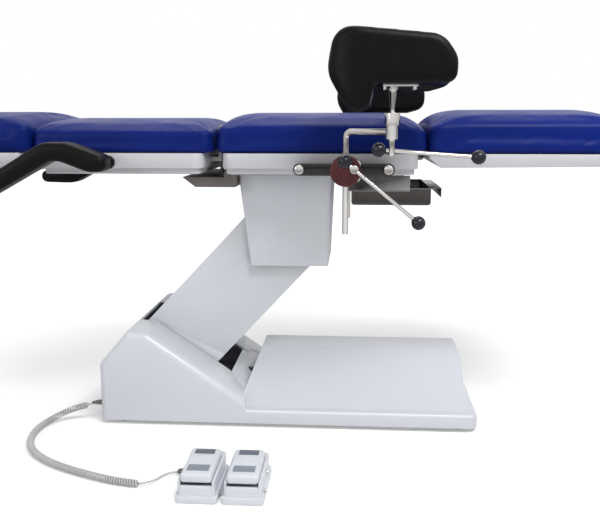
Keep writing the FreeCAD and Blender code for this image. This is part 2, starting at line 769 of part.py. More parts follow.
def seat_frame():
    """Steel plate under the seat shell, with windows cut to lighten it."""
    flat = centred_block("column_top_x - 12", "shell_floor - plate", "480", "400", "plate")
    windows = [centred_block(x, "shell_floor - plate - 1", "90", "110", "plate + 2", y)
               for x in ("column_top_x + column_top_length + 20", "column_top_x + column_top_length + 124")
               for y in ("-70", "70")]
    node("seat_frame", cut(flat, *windows))
    outline = [("column_top_x - 151", "shell_floor - 14"), ("seat_start + 6", "shell_floor - 14"),
               ("seat_start + 6", "shell_floor"), ("column_top_x - 12.5", "shell_floor"),
               ("column_top_x - 12.5", "shell_floor - plate - 0.3"),
               ("column_top_x - 1", "shell_floor - plate - 0.3"),
               ("column_top_x - 1", "shell_floor - 42"), ("column_top_x - 114", "shell_floor - 42")]
    skin = prism(outline, "400")
    hollow = centred_block("column_top_x - 96", "shell_floor - 60", "80", "380", "40")
    leaf = gap_leaf("(seat_start - deck_gap / 2)", "", "shell_floor - 14", "back_barrel",
                    ("gap_hinge_out",), True)
    node("hinge_bracket", join(cut(skin, hollow), *leaf))


# Side rails, and the sliding clamps, posts and knee crutches on them.

def side_rails():
    rails = []
    bolts = []
    for side in ("-1", "1"):
        y = f"{side} * (deck_width / 2 + rail_stand_off + rail_thick / 2)"
        rail = centred_block("rail_start", "rail_floor", "rail_length", "rail_thick", "rail_height", y)
        rail = rounded(rail, lambda e: runs_along(e, ACROSS), rail_height / 2 - 0.5)
        z = "rail_floor + rail_height / 2"
        for x in ("rail_start + rail_height / 2", "rail_start + rail_length - rail_height / 2"):
            rail = cut(rail, cross_bar(x, z, "6", "rail_thick + 10", y))
            spacer = cross_bar(x, z, "10", "rail_stand_off", f"{side} * (deck_width / 2 + rail_stand_off / 2)")
            shank = cross_bar(x, z, "6", "rail_stand_off + rail_thick + 2",
                              f"{side} * (deck_width / 2 + (rail_stand_off + rail_thick + 2) / 2)")
            head = cross_bar(x, z, "13", "6",
                             f"{side} * (deck_width / 2 + rail_stand_off + rail_thick + 3)")
            outside = deck_width / 2 + rail_stand_off + rail_thick + 5
            head = rounded(head, lambda e: beside(e, 0, outside), 4)
            bolts.append(join(spacer, shank, head))
        rails.append(rail)
    node("side_rails", group(*rails))
    node("rail_bolts", group(*bolts))


def tee_bar(angle, side, x, z, out):
    """A round bar with a ball knob at each end, slid to one side of the hole that it runs in."""
    rod = bar("-bar_offset", "0", "0", "bar_radius", "bar_span", ALONG)
    knobs = [ball(at, "0", "0", "knob_radius", ALONG) for at in ("-bar_offset", "bar_span - bar_offset")]
    whole = join(rod, *knobs)
    whole.Placement = Placement(Vector(), Rotation(ACROSS, angle))
    return place(whole, x, f"{side} * ({out})", z)


def bar_hole(slope, x, y, z):
    """The slanted hole in a screw head through which its bar slides."""
    half = "4 * bar_offset / 3"
    tilted = Rotation(ACROSS, values[slope]).multVec(ALONG)
    return bar(f"{x} - {half} * cos({slope})", y, f"{z} + {half} * sin({slope})",
               "bar_radius + running_fit", f"2 * {half}", tilted)


def rail_clamp(name, side):
    """A block that slides on the rail, with a hub turning on its face and a locking screw."""
    mid_z = "(rail_floor + rail_height / 2)"
    rail_out = "(deck_width / 2 + rail_stand_off)"
    body = centred_block("clamp_x - 32", "rail_floor - 12", "64", "38", "rail_height + 26",
                         f"{side} * ({rail_out} + 11)")
    body = bevelled(body, lambda e: runs_along(e, ACROSS), 8)
    slot = centred_block("clamp_x - 40", "rail_floor - slide_fit", "80", "rail_thick + 2 * slide_fit",
                         "rail_height + 2 * slide_fit", f"{side} * ({rail_out} + rail_thick / 2)")
    mouth = centred_block("clamp_x - 40", f"{mid_z} - 11", "80", "20", "22", f"{side} * ({rail_out} - 8)")
    socket = cross_bar("clamp_x", mid_z, "post_radius + running_fit", "24", f"{side} * ({rail_out} + 30)")
    node(f"{name}_clamp", cut(body, slot, mouth, socket))
    block_out = f"({rail_out} + 30.3)"
    hub = centred_block("clamp_x - 30", f"{mid_z} - 28", "68", "28", "56", f"{side} * ({block_out} + 14)")
    hub = rounded(hub, lambda e: runs_along(e, ACROSS), 12)
    pin = cross_bar("clamp_x", mid_z, "post_radius", "12", f"{side} * ({block_out} - 5.5)")
    post_hole = bar("clamp_x", f"{side} * post_out", f"{mid_z} - 40", "post_radius + running_fit", "80", UP)
    screw_x = "(clamp_x + 22)"
    screw_z = f"({mid_z} + 6)"
    screw_hole = cross_bar(screw_x, screw_z, "7 + running_fit", "60", f"{side} * ({block_out} + 40)")
    node(f"{name}_hub", cut(join(hub, pin), post_hole, screw_hole))
    disc = cross_bar("clamp_x", mid_z, "disc_radius", "9", f"{side} * ({block_out} + 28 + 4.5)")
    disc = rounded(disc, lambda e: e.Closed and e.Length > 200, 2)
    node(f"{name}_disc", cut(disc, screw_hole))
    face = f"({block_out} + 28 + 9)"
    shank = cross_bar(screw_x, screw_z, "7", "27", f"{side} * ({face} - 13)")
    head = cross_bar(screw_x, screw_z, "11", "36", f"{side} * ({face} + 0.3 + 18)")
    head = rounded(head, lambda e: e.Closed and beside(e, 0, bar_out + 4), 2)
    hole = bar_hole("bar_slope", screw_x, f"{side} * bar_out", screw_z)
    node(f"{name}_clamp_screw", cut(join(shank, head), hole))
    node(f"{name}_clamp_bar", tee_bar(bar_slope, side, screw_x, screw_z, "bar_out"))


def crutch_post(name, side, drop):
    """The bent post with the socket that holds the ball of the crutch, and its locking screw."""
    sign = float(side)
    fall = crutch_drop if drop else 0
    lower = " - crutch_drop" if drop else ""
    top = post_top - fall
    along = Vector(joint_x - clamp_x, sign * (joint_out - post_out), 0)
    points = [Vector(clamp_x, sign * post_out, post_foot - fall), Vector(clamp_x, sign * post_out, top),
              Vector(clamp_x, sign * post_out, top) + along * (1 - 12 / along.Length)]
    rod = shaped("bent_rod", swept_rod(points, post_radius, 2.2 * post_radius))
    y = f"{side} * joint_out"
    collar = bar("joint_x", y, f"post_top + 16{lower}", "19", "30", UP)
    collar = rounded(collar, lambda e: e.Closed, 1.5)
    barrel = bar("joint_x", y, f"post_top - 17{lower}", "15.5", "34", UP)
    cup = ball("joint_x", y, f"post_top + 32{lower}", "ball_radius + 0.3")
    mouth = bar("joint_x", y, f"post_top + 32{lower}", "ball_radius - 1.5", "20", UP)
    thread = bar("joint_x", y, f"post_top - 18{lower}", "8.5 + running_fit", "42", UP)
    node(f"{name}_post", cut(join(rod, barrel, collar), cup, mouth, thread))
    screw = bar("joint_x", y, f"post_top - 57{lower}", "8.5", "76", UP)
    bar_z = f"(post_top - 45{lower})"
    node(f"{name}_joint_screw", cut(screw, bar_hole("joint_slope", "joint_x", y, bar_z)))
    node(f"{name}_joint_bar", tee_bar(joint_slope, side, "joint_x", bar_z, "joint_out"))


def knee_crutch(name, side, drop):
    """A padded trough on a ball stud: deep and flared at the hip end, shallower at the calf."""
    lower = " - crutch_drop" if drop else ""
    y = f"{side} * joint_out"
    sphere = ball("joint_x", y, f"post_top + socket_rise{lower}", "ball_radius")
    neck = turned([("0", "0"), ("5", "0"), ("5", "16"), ("9", "58"), ("14", "64"), ("14", "72"), ("0", "72")])
    place(neck, "joint_x", y, f"post_top + socket_rise + 6{lower}")
    flat = centred_block("joint_x - 31", f"post_top + socket_rise + 75{lower}", "92", "60", "6", y)
    flat = rounded(flat, lambda e: runs_along(e, UP), 10)
    bolts = [bar(x, f"{y} + {off}", f"post_top + socket_rise + 68{lower}", "6", "8", UP)
             for x in ("joint_x - 21", "joint_x + 51") for off in ("-18", "18")]
    node(f"{name}_stud", join(sphere, neck, flat, *bolts))
    level = f"(post_top + socket_rise + 81{lower})"
    form = soft_prism([("joint_x - 158", f"{level} + 26", 70), ("joint_x - 140", f"{level} + 136", 50),
                       ("joint_x + 112", f"{level} + 112", 60), ("joint_x + 148", f"{level} + 60", 50),
                       ("joint_x + 146", level, 26), ("joint_x - 45", level, 14),
                       ("joint_x - 58", f"{level} - 64", 24), ("joint_x - 106", f"{level} - 64", 40)],
                      "2 * crutch_reach", y)
    floor = f"({level} + 60)"
    trough = bar("joint_x - 200", y, f"{floor} + crutch_hollow", "crutch_hollow", "400", ALONG)
    above = centred_block("joint_x - 200", f"{floor} + crutch_hollow", "400", "2 * crutch_hollow", "100", y)
    pad = cut(form, join(trough, above))
    pad = rounded(pad, lambda e: beside(e, float(side) * joint_out, crutch_reach), crutch_soft)
    node(f"{name}_crutch_pad", pad)


def fittings():
    side_rails()
    for name, side, drop in (("right", "-1", False), ("left", "1", True)):
        rail_clamp(name, side)
        crutch_post(name, side, drop)
        knee_crutch(name, side, drop)


# Basin under the seat.

def basin():
    width = "basin_width"
    rim = "(basin_floor + basin_depth)"
    outer = centred_block("basin_start", "basin_floor", "basin_length - 4", width, "basin_depth")
    outer = rounded(outer, lambda e: runs_along(e, UP) or (abs(e.BoundBox.ZMax - basin_floor) < 0.01), 8)
    inner = centred_block("basin_start + sheet_metal", "basin_floor + sheet_metal",
                          "basin_length - 4 - 2 * sheet_metal", f"{width} - 2 * sheet_metal", "basin_depth + 5")
    inner = rounded(inner, lambda e: runs_along(e, UP) or
                    (abs(e.BoundBox.ZMax - basin_floor - sheet_metal) < 0.01), 8 - sheet_metal)
    tray = cut(outer, inner)
    wings = [centred_block("basin_start", f"{rim} - sheet_metal", "basin_length - 4", "8", "sheet_metal",
                           f"{side} * ({width} / 2 + 3.5)") for side in ("-1", "1")]
    node("basin", join(tray, *wings))
    end = "(basin_start + basin_length - 4)"
    lip = prism([(end, f"{rim} - 2"), (end, rim), (f"{end} + 30", rim), (f"{end} + 30", f"{rim} - 26"),
                 (f"{end} + 28", f"{rim} - 26"), (f"{end} + 28", f"{rim} - 2")], f"{width} - 40")
    node("basin_handle", lip)
    runners = []
    for side in ("-1", "1"):
        y = f"{side} * ({width} / 2 + 10)"
        start = "basin_start - 12"
        web = centred_block(start, f"{rim} - 8", "174", "3", f"shell_floor - plate - {rim} + 8", y)
        shelf = centred_block(start, f"{rim} - 8", "174", "12", "3", f"{side} * ({width} / 2 + 6)")
        hood = centred_block(start, f"{rim} + 4", "174", "10", "3", f"{side} * ({width} / 2 + 5)")
        runners.append(join(web, shelf, hood))
    node("basin_runners", group(*runners))


# Padded armrests, each on a pivot at the side of the back section.

def armrests():
    for name, side in (("right", "-1"), ("left", "1")):
        y = f"{side} * (deck_width / 2 + armrest_out)"
        pad = soft_prism([("armrest_x", "armrest_z - 20", 16), ("armrest_x", "armrest_z + 20", 18),
                          ("armrest_x - 100", "armrest_z + 56", 60), ("armrest_x - 165", "armrest_z + 56", 50),
                          ("armrest_x - 362", "armrest_z - 60", 90), ("armrest_x - 473", "armrest_z - 62", 21),
                          ("armrest_x - 473", "armrest_z - 106", 21), ("armrest_x - 352", "armrest_z - 108", 80),
                          ("armrest_x - 136", "armrest_z + 12", 45), ("armrest_x - 45", "armrest_z - 22", 30)],
                         "armrest_width", y)
        middle = float(side) * (deck_width / 2 + armrest_out)
        pad = rounded(pad, lambda e: beside(e, middle, armrest_width / 2), armrest_soft)
        hole = cross_bar("armrest_x - armrest_hub", "armrest_z", "armrest_pin + running_fit", "50",
                         f"{side} * (deck_width / 2 + 45)")
        node(f"{name}_armrest", cut(pad, hole))


def armrest_pivots():
    """A flange on each side of the back shell, with a pin into the armrest."""
    pivots = []
    for side in ("-1", "1"):
        flange = cross_bar("armrest_x - armrest_hub", "armrest_z", "18", "8", f"{side} * (deck_width / 2 + 4)")
        pin = cross_bar("armrest_x - armrest_hub", "armrest_z", "armrest_pin", "66",
                        f"{side} * (deck_width / 2 + 34)")
        pivots.append(join(flange, pin))
    return pivots


# Foot switch: two pedal units side by side.

def foot_switch():
    units = []
    for count in range(2):
        x = f"(switch_start + {count} * switch_pitch)"
        sole = block(x, "switch_front", "0", "switch_width", "switch_depth", "16")
        sole = rounded(sole, lambda e: runs_along(e, UP), 10)
        body = block(f"{x} + 6", "switch_front + 6", "15", "switch_width - 12", "switch_depth - 12", "switch_height + 1")
        body = rounded(body, lambda e: runs_along(e, UP), 8)
        well = block(f"{x} + 12", "switch_front + 5", "24", "switch_width - 24", "switch_depth - 36", "60")
        unit = cut(join(sole, body), well)
        units.append(unit)
        pedal = block(f"{x} + 12.4", "switch_front + 8", "24 + pedal_travel + 1", "switch_width - 24.8",
                      "switch_depth - 42", "16 + pedal_height")
        node(f"{('lift', 'back')[count]}_pedal", rounded(pedal, lambda e: e.BoundBox.ZMin > 60, 5))
    strip = block("switch_start + switch_width - 10", "switch_front + 40", "3", "switch_pitch - switch_width + 20",
                  "switch_depth - 80", "6")
    node("switch_housings", join(*units, strip))


# Cord from the base to the foot switch: a curly stretch between two short straight ends.

def cord():
    base_end = [Vector(-base_length / 2 - 0.3, -249, 58), Vector(-557, -249, 56.9), Vector(-580, -249, 50)]
    coil = [Vector(-580, -249, 50), Vector(-640, -249, 32), Vector(-688, -290, 12), Vector(-700, -350, 10),
            Vector(-688, -425, 10), Vector(-655, -492, 10), Vector(-600, -548, 10), Vector(-530, -592, 10),
            Vector(-455, -626, 10), Vector(-390, -652, 10), Vector(-340, -662, 10)]
    switch_end = [Vector(-340, -662, 10), Vector(-318, -666.4, 10), Vector(-292, -646, 9),
                  Vector(-280, -616, 8), Vector(-262, -590, 8), Vector(switch_start - 17, -590, 8)]
    for name, route, radius in (("cord_base_end", base_end, cord_radius), ("cord_coil", coil, coil_radius),
                                ("cord_switch_end", switch_end, cord_radius)):
        node(name, shaped(name, swept_rod(route, radius, bend_radii(route, name))))
    gland = bar("switch_start - 17", "-590", "8", "7", "17", ALONG)
    node("switch_gland", gland)
    inlet = bar("-base_length / 2 - 9", "-60", "78", "22", "9", ALONG)
    plug = centred_block("-base_length / 2 - 9", "60", "9", "50", "40", "-60")
    node("mains_inlet", join(plug, inlet))


def bend_radii(route, name):
    """As large an arc at each corner as its two runs allow."""
    radii = []
    for before, corner, after in zip(route, route[1:], route[2:]):
        back = before - corner
        ahead = after - corner
        half_turn = (math.pi - back.getAngle(ahead)) / 2
        radii.append(0.45 * min(back.Length, ahead.Length) / math.tan(half_turn))
    print(f"{name}: bend radii {', '.join(f'{radius:.0f}' for radius in radii)}")
    return radii


for make in (seat_section, back_section, head_section, leg_section, leg_hinge, gap_hinges, base,
             base_frame, feet, lift_arm, levelling_link, actuator, column, column_frame, seat_frame,
             fittings, basin, armrests, foot_switch, cord):
    make()
    doc.recompute()

os.makedirs("parts", exist_ok=True)
for thing in doc.Objects:
    if "Invalid" in thing.State or "Error" in thing.State:
        raise ValueError(f"{thing.Name} ({thing.Label}) could not be built: {thing.State}")
for thing in exported:
    if thing.Shape.isNull() or not thing.Shape.isValid():
        raise ValueError(f"{thing.Label} has no valid shape")
for thing in exported:
    thing.Shape.exportStep(f"parts/{thing.Label}.step")
    box = thing.Shape.BoundBox
    print(f"{thing.Label}: x {box.XMin:.0f} {box.XMax:.0f}, y {box.YMin:.0f} {box.YMax:.0f}, "
          f"z {box.ZMin:.0f} {box.ZMax:.0f}, {len(thing.Shape.Solids)} solids")
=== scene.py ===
import json
import math

import bmesh
import bpy
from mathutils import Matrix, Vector

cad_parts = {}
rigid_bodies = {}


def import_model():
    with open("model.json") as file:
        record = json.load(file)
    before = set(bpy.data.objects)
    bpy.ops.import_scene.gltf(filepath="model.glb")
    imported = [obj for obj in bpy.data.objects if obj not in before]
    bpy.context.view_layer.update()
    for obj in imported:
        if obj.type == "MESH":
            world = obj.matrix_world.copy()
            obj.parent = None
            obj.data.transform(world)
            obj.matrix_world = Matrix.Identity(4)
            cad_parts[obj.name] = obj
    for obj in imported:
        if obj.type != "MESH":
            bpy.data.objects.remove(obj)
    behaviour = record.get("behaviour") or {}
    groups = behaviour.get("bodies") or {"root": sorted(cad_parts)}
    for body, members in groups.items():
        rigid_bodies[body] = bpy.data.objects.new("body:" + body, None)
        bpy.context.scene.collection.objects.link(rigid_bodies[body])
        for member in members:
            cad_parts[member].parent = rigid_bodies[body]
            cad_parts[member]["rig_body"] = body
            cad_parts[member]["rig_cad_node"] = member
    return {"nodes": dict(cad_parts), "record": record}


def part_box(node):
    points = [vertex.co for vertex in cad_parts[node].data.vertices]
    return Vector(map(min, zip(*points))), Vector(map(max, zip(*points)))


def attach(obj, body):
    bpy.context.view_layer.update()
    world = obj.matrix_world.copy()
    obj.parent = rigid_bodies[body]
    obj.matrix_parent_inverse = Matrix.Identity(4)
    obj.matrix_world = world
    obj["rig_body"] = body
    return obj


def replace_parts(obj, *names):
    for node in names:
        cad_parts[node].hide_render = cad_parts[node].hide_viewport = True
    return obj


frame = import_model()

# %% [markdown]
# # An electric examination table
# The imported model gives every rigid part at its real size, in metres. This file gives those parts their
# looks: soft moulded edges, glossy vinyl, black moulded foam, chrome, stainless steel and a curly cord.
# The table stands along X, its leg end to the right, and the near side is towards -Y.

scene = bpy.context.scene
nodes = frame["nodes"]
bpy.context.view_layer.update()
SIDES = ("right", "left")
MERGE_WITHIN = 0.00001
BODY = {name: body for body, members in frame["record"]["behaviour"]["bodies"].items() for name in members}
print("parts:", len(nodes))


def only(*things):
    """Selects these objects and nothing else, and makes the first one active."""
    bpy.ops.object.select_all(action="DESELECT")
    for thing in things:
        thing.select_set(True)
    bpy.context.view_layer.objects.active = things[0]


def settle(name):
    """Names the active object and puts its place into its mesh."""
    piece = bpy.context.object
    piece.name = name
    piece.data.name = name
    only(piece)
    bpy.ops.object.transform_apply(location=True, rotation=True, scale=True)
    return piece


def finish_with(piece, kind, **values):
    """Adds a modifier, sets its values and applies it."""
    only(piece)
    modifier = piece.modifiers.new(kind.title(), kind)
    for name, value in values.items():
        setattr(modifier, name, value)
    bpy.ops.object.modifier_apply(modifier=modifier.name)


def smooth(piece, angle=35):
    """Smooth shading that keeps edges sharper than an angle crisp."""
    only(piece)
    bpy.ops.object.shade_smooth_by_angle(angle=math.radians(angle))


def face_outwards(piece):
    """Turns every face of a closed piece outwards."""
    only(piece)
    bpy.ops.object.mode_set(mode="EDIT")
    bpy.ops.mesh.select_all(action="SELECT")
    bpy.ops.mesh.normals_make_consistent(inside=False)
    bpy.ops.object.mode_set(mode="OBJECT")


def skin_of(name):
    """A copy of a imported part, without its marks as a node, whose strips are merged into one skin."""
    piece = nodes[name].copy()
    piece.data = nodes[name].data.copy()
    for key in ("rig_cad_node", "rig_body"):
        del piece[key]
    piece.parent = None
    piece.name = name + "_skin"
    scene.collection.objects.link(piece)
    only(piece)
    bpy.ops.object.mode_set(mode="EDIT")
    bpy.ops.mesh.select_all(action="SELECT")
    bpy.ops.mesh.remove_doubles(threshold=MERGE_WITHIN)
    bpy.ops.object.mode_set(mode="OBJECT")
    return piece


def dress(piece, body, material, slot):
    """Gives a piece its body and its material; the slot of the record that it belongs to is not used."""
    piece.data.materials.clear()
    piece.data.materials.append(material)
    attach(piece, body)
    return piece


# %% [markdown]
# ## The camera
# The photograph was taken from a little above the deck, turned four degrees towards the leg end, with a
# lens a little longer than normal. The camera goes in first, because the cord is judged through it.

# %% Camera
CAMERA_PLACE = (0.1847, -2.4206, 0.8638)
CAMERA_DOWN = 9.65
CAMERA_TURN = 4.0
bpy.ops.object.camera_add(location=CAMERA_PLACE,
                          rotation=(math.radians(90 - CAMERA_DOWN), 0, math.radians(CAMERA_TURN)))
camera = bpy.context.object
camera.name = "photo_camera"
camera.data.lens = 48
camera.data.sensor_width = 36
scene.camera = camera

# %% [markdown]
# ## Effects that several finishes share
# Grain, soft blotches and edges lightened for wear and as a painted highlight turn up in more than one
# finish. Each is a node group with its own inputs, built once, so that a finish only says how coarse and
# how strong it wants the effect.

# %% Helpers for materials


def new_group(name, inputs, outputs):
    """An empty node group with named sockets, given as name and kind and default."""
    group = bpy.data.node_groups.new(name, "ShaderNodeTree")
    for label, kind, value in inputs:
        socket = group.interface.new_socket(label, in_out="INPUT", socket_type=kind)
        if value is not None:
            socket.default_value = value
    for label, kind in outputs:
        group.interface.new_socket(label, in_out="OUTPUT", socket_type=kind)
    source = group.nodes.new("NodeGroupInput")
    target = group.nodes.new("NodeGroupOutput")
    return group, source, target


def link(tree, start, end):
    """Joins an output socket to an input socket."""
    tree.links.new(start, end)


def add(tree, kind, **values):
    """A node with its settings; a setting named like a socket fills that socket."""
    node = tree.nodes.new(kind)
    for name, value in values.items():
        if hasattr(node, name):
            setattr(node, name, value)
        else:
            node.inputs[name.replace("_", " ")].default_value = value
    return node


# %% Grain: fine bumps on leather and moulded plastic
grain, grain_in, grain_out = new_group("fine grain", [("Scale", "NodeSocketFloat", 900.0),
                                                      ("Stretch", "NodeSocketVector", (1, 1, 1))],
                                       [("Height", "NodeSocketFloat")])
place = add(grain, "ShaderNodeTexCoord")
stretch = add(grain, "ShaderNodeMapping")
cells = add(grain, "ShaderNodeTexVoronoi", feature="SMOOTH_F1")
cells.inputs["Smoothness"].default_value = 0.6
fine = add(grain, "ShaderNodeTexNoise")
fine.inputs["Detail"].default_value = 3
blend_heights = add(grain, "ShaderNodeMath", operation="MULTIPLY_ADD")
blend_heights.inputs[1].default_value = 0.5
link(grain, place.outputs["Object"], stretch.inputs["Vector"])
link(grain, grain_in.outputs["Stretch"], stretch.inputs["Scale"])
link(grain, stretch.outputs["Vector"], cells.inputs["Vector"])
link(grain, stretch.outputs["Vector"], fine.inputs["Vector"])
link(grain, grain_in.outputs["Scale"], cells.inputs["Scale"])
link(grain, grain_in.outputs["Scale"], fine.inputs["Scale"])
link(grain, fine.outputs["Fac"], blend_heights.inputs[0])
link(grain, cells.outputs["Distance"], blend_heights.inputs[2])
link(grain, blend_heights.outputs[0], grain_out.inputs["Height"])

# %% Blotches: slow changes of shade and gloss over a surface
blotch, blotch_in, blotch_out = new_group("soft blotches", [("Scale", "NodeSocketFloat", 6.0),
                                                            ("Low", "NodeSocketFloat", 0.4),
                                                            ("High", "NodeSocketFloat", 0.5)],
                                          [("Value", "NodeSocketFloat")])
place = add(blotch, "ShaderNodeTexCoord")
cloud = add(blotch, "ShaderNodeTexNoise")
cloud.inputs["Detail"].default_value = 4
spread = add(blotch, "ShaderNodeMapRange")
spread.inputs["From Min"].default_value = 0.3
spread.inputs["From Max"].default_value = 0.7
link(blotch, place.outputs["Object"], cloud.inputs["Vector"])
link(blotch, blotch_in.outputs["Scale"], cloud.inputs["Scale"])
link(blotch, cloud.outputs["Fac"], spread.inputs["Value"])
link(blotch, blotch_in.outputs["Low"], spread.inputs["To Min"])
link(blotch, blotch_in.outputs["High"], spread.inputs["To Max"])
link(blotch, spread.outputs["Result"], blotch_out.inputs["Value"])

# %% Edge wear and painted highlight: a mask that is bright where a surface bends outwards
FLAT_POINTINESS = 0.52
edge_wear_and_highlight, edge_wear_and_highlight_in, edge_wear_and_highlight_out = new_group("edge wear and painted highlight", [("Sharpness", "NodeSocketFloat", 8.0)],
                                    [("Mask", "NodeSocketFloat")])
bend = add(edge_wear_and_highlight, "ShaderNodeNewGeometry")
centred = add(edge_wear_and_highlight, "ShaderNodeMath", operation="SUBTRACT")
centred.inputs[1].default_value = FLAT_POINTINESS
steep = add(edge_wear_and_highlight, "ShaderNodeMath", operation="MULTIPLY", use_clamp=True)
link(edge_wear_and_highlight, bend.outputs["Pointiness"], centred.inputs[0])
link(edge_wear_and_highlight, centred.outputs[0], steep.inputs[0])
link(edge_wear_and_highlight, edge_wear_and_highlight_in.outputs["Sharpness"], steep.inputs[1])
link(edge_wear_and_highlight, steep.outputs[0], edge_wear_and_highlight_out.inputs["Mask"])

# %% A finish made of those effects
GLOSS_CLOUD = 3.1
GLOSS_SPREAD = 0.16
BUMP_DEPTH = 0.0006
# How dark the painted reflection at a bar's outline gets, as a share of the colour.
PAINTED_REFLECTION_SHARE = 0.08


def finish(name, colour, rough, metal=0.0, wear_and_highlight_colour=None, edge=0.0, scale=900.0, relief=0.0,
           stretch=(1, 1, 1), shade=0.06, cloud=5.0, coat=0.0, coat_rough=0.1, specular=0.5, painted_reflection_rim=0.0):
    """A finish: a colour with slow changes of shade, gloss that varies, grain, and edges lightened for wear
    and as a painted highlight.

    A painted reflection rim above zero darkens a round bar towards its outline; this darkening is a painted
    reflection of a darker room.
    """
    material = bpy.data.materials.new(name)
    material.use_nodes = True
    tree = material.node_tree
    shader = tree.nodes["Principled BSDF"]
    shader.inputs["Metallic"].default_value = metal
    shader.inputs["Coat Weight"].default_value = coat
    shader.inputs["Coat Roughness"].default_value = coat_rough
    shader.inputs["Specular IOR Level"].default_value = specular
    tone = add(tree, "ShaderNodeGroup", node_tree=blotch)
    tone.inputs["Scale"].default_value = cloud
    tone.inputs["Low"].default_value = 0.0
    tone.inputs["High"].default_value = 1.0
    mix = add(tree, "ShaderNodeMix", data_type="RGBA")
    mix.inputs["A"].default_value = (*[c * (1 - shade) for c in colour], 1)
    mix.inputs["B"].default_value = (*[min(1, c * (1 + shade)) for c in colour], 1)
    link(tree, tone.outputs["Value"], mix.inputs["Factor"])
    edges = add(tree, "ShaderNodeGroup", node_tree=edge_wear_and_highlight)
    strength = add(tree, "ShaderNodeMath", operation="MULTIPLY")
    strength.inputs[1].default_value = edge
    link(tree, edges.outputs["Mask"], strength.inputs[0])
    # The edges are lightened by the mask: wear on paint, and a painted highlight on white plastic, chrome
    # and stainless steel.
    wear_and_highlight_mix = add(tree, "ShaderNodeMix", data_type="RGBA")
    wear_and_highlight_mix.inputs["B"].default_value = (*(wear_and_highlight_colour or [min(1, c * 1.3 + 0.02) for c in colour]), 1)
    link(tree, strength.outputs[0], wear_and_highlight_mix.inputs["Factor"])
    link(tree, mix.outputs["Result"], wear_and_highlight_mix.inputs["A"])
    last = wear_and_highlight_mix.outputs["Result"]
    # Painted reflection: the colour darkens towards the outline of a round bar.
    if painted_reflection_rim:
        facing = add(tree, "ShaderNodeLayerWeight")
        facing.inputs["Blend"].default_value = 0.5
        depth = add(tree, "ShaderNodeMath", operation="MULTIPLY")
        depth.inputs[1].default_value = painted_reflection_rim
        painted_reflection_mix = add(tree, "ShaderNodeMix", data_type="RGBA")
        painted_reflection_mix.inputs["B"].default_value = (*[c * PAINTED_REFLECTION_SHARE for c in colour], 1)
        link(tree, facing.outputs["Facing"], depth.inputs[0])
        link(tree, depth.outputs[0], painted_reflection_mix.inputs["Factor"])
        link(tree, last, painted_reflection_mix.inputs["A"])
        last = painted_reflection_mix.outputs["Result"]
    link(tree, last, shader.inputs["Base Color"])
    gloss = add(tree, "ShaderNodeGroup", node_tree=blotch)
    gloss.inputs["Scale"].default_value = cloud * GLOSS_CLOUD
    gloss.inputs["Low"].default_value = rough * (1 - GLOSS_SPREAD)
    gloss.inputs["High"].default_value = rough * (1 + GLOSS_SPREAD)
    link(tree, gloss.outputs["Value"], shader.inputs["Roughness"])
    if relief:
        bumps = add(tree, "ShaderNodeGroup", node_tree=grain)
        bumps.inputs["Scale"].default_value = scale
        bumps.inputs["Stretch"].default_value = stretch
        bump = add(tree, "ShaderNodeBump")
        bump.inputs["Strength"].default_value = relief
        bump.inputs["Distance"].default_value = BUMP_DEPTH
        link(tree, bumps.outputs["Height"], bump.inputs["Height"])
        link(tree, bump.outputs["Normal"], shader.inputs["Normal"])
    return material


# %% [markdown]
# ## The finishes of this table
# The cushions are glossy royal blue vinyl with a fine leather grain. The covers are white moulded
# plastic with a hint of blue, nearly smooth, and the shells of the deck are a little greyer, which is
# painted shade. Crutches and armrests are black moulded foam with a closed, slightly grained skin. Rods and
# clamps are chrome, darkened towards their outlines by a painted reflection. Rails and basin are steel that
# was brushed along its length, and their very dark colour is a painted dark reflection.

# %% Finishes
vinyl = finish("blue vinyl", (0.0035, 0.0135, 0.140), 0.38, scale=1400, relief=0.10, shade=0.16, cloud=4,
               specular=0.09)
# The lighter edges of the white plastic are a painted highlight.
white_plastic = finish("white moulded plastic", (0.66, 0.68, 0.73), 0.34, edge=0.5, scale=2200,
                       relief=0.05, shade=0.02, cloud=3, coat=0.12, coat_rough=0.2,
                       wear_and_highlight_colour=(0.86, 0.87, 0.9))
black_foam = finish("black moulded foam", (0.003, 0.003, 0.0034), 0.40, scale=1100, relief=0.16,
                    shade=0.2, cloud=9, specular=0.10)
# Chrome darkens towards its outlines by a painted reflection, and its lighter edges are a painted
# highlight.
chrome = finish("chrome", (0.68, 0.66, 0.64), 0.13, metal=1.0, shade=0.05, cloud=22,
                wear_and_highlight_colour=(0.85, 0.85, 0.86), edge=0.3, painted_reflection_rim=0.95)
# The steel's very dark colour is a painted dark reflection, and its bright edges are a painted highlight.
stainless = finish("brushed stainless steel with painted reflection", (0.07, 0.064, 0.062), 0.27, metal=1.0, scale=500, relief=0.10,
                   stretch=(0.03, 1, 1), shade=0.08, cloud=12, edge=0.5, wear_and_highlight_colour=(0.7, 0.7, 0.71))
# The shells are the white plastic made a little greyer, which is painted shade; their lighter edges are a
# painted highlight.
shaded_shell_plastic = finish("white shell plastic with painted shade", (0.50, 0.50, 0.525), 0.36, edge=0.5, scale=2200,
                       relief=0.05, shade=0.02, cloud=3, coat=0.1, coat_rough=0.2,
                       wear_and_highlight_colour=(0.74, 0.75, 0.78))
# The rail steel's very dark colour is a painted dark reflection.
rail_steel = finish("rail steel with painted dark reflection", (0.026, 0.022, 0.022), 0.34, metal=0.9, scale=500, relief=0.10,
                    stretch=(0.03, 1, 1), shade=0.1, cloud=12, edge=0.6, wear_and_highlight_colour=(0.5, 0.5, 0.5))
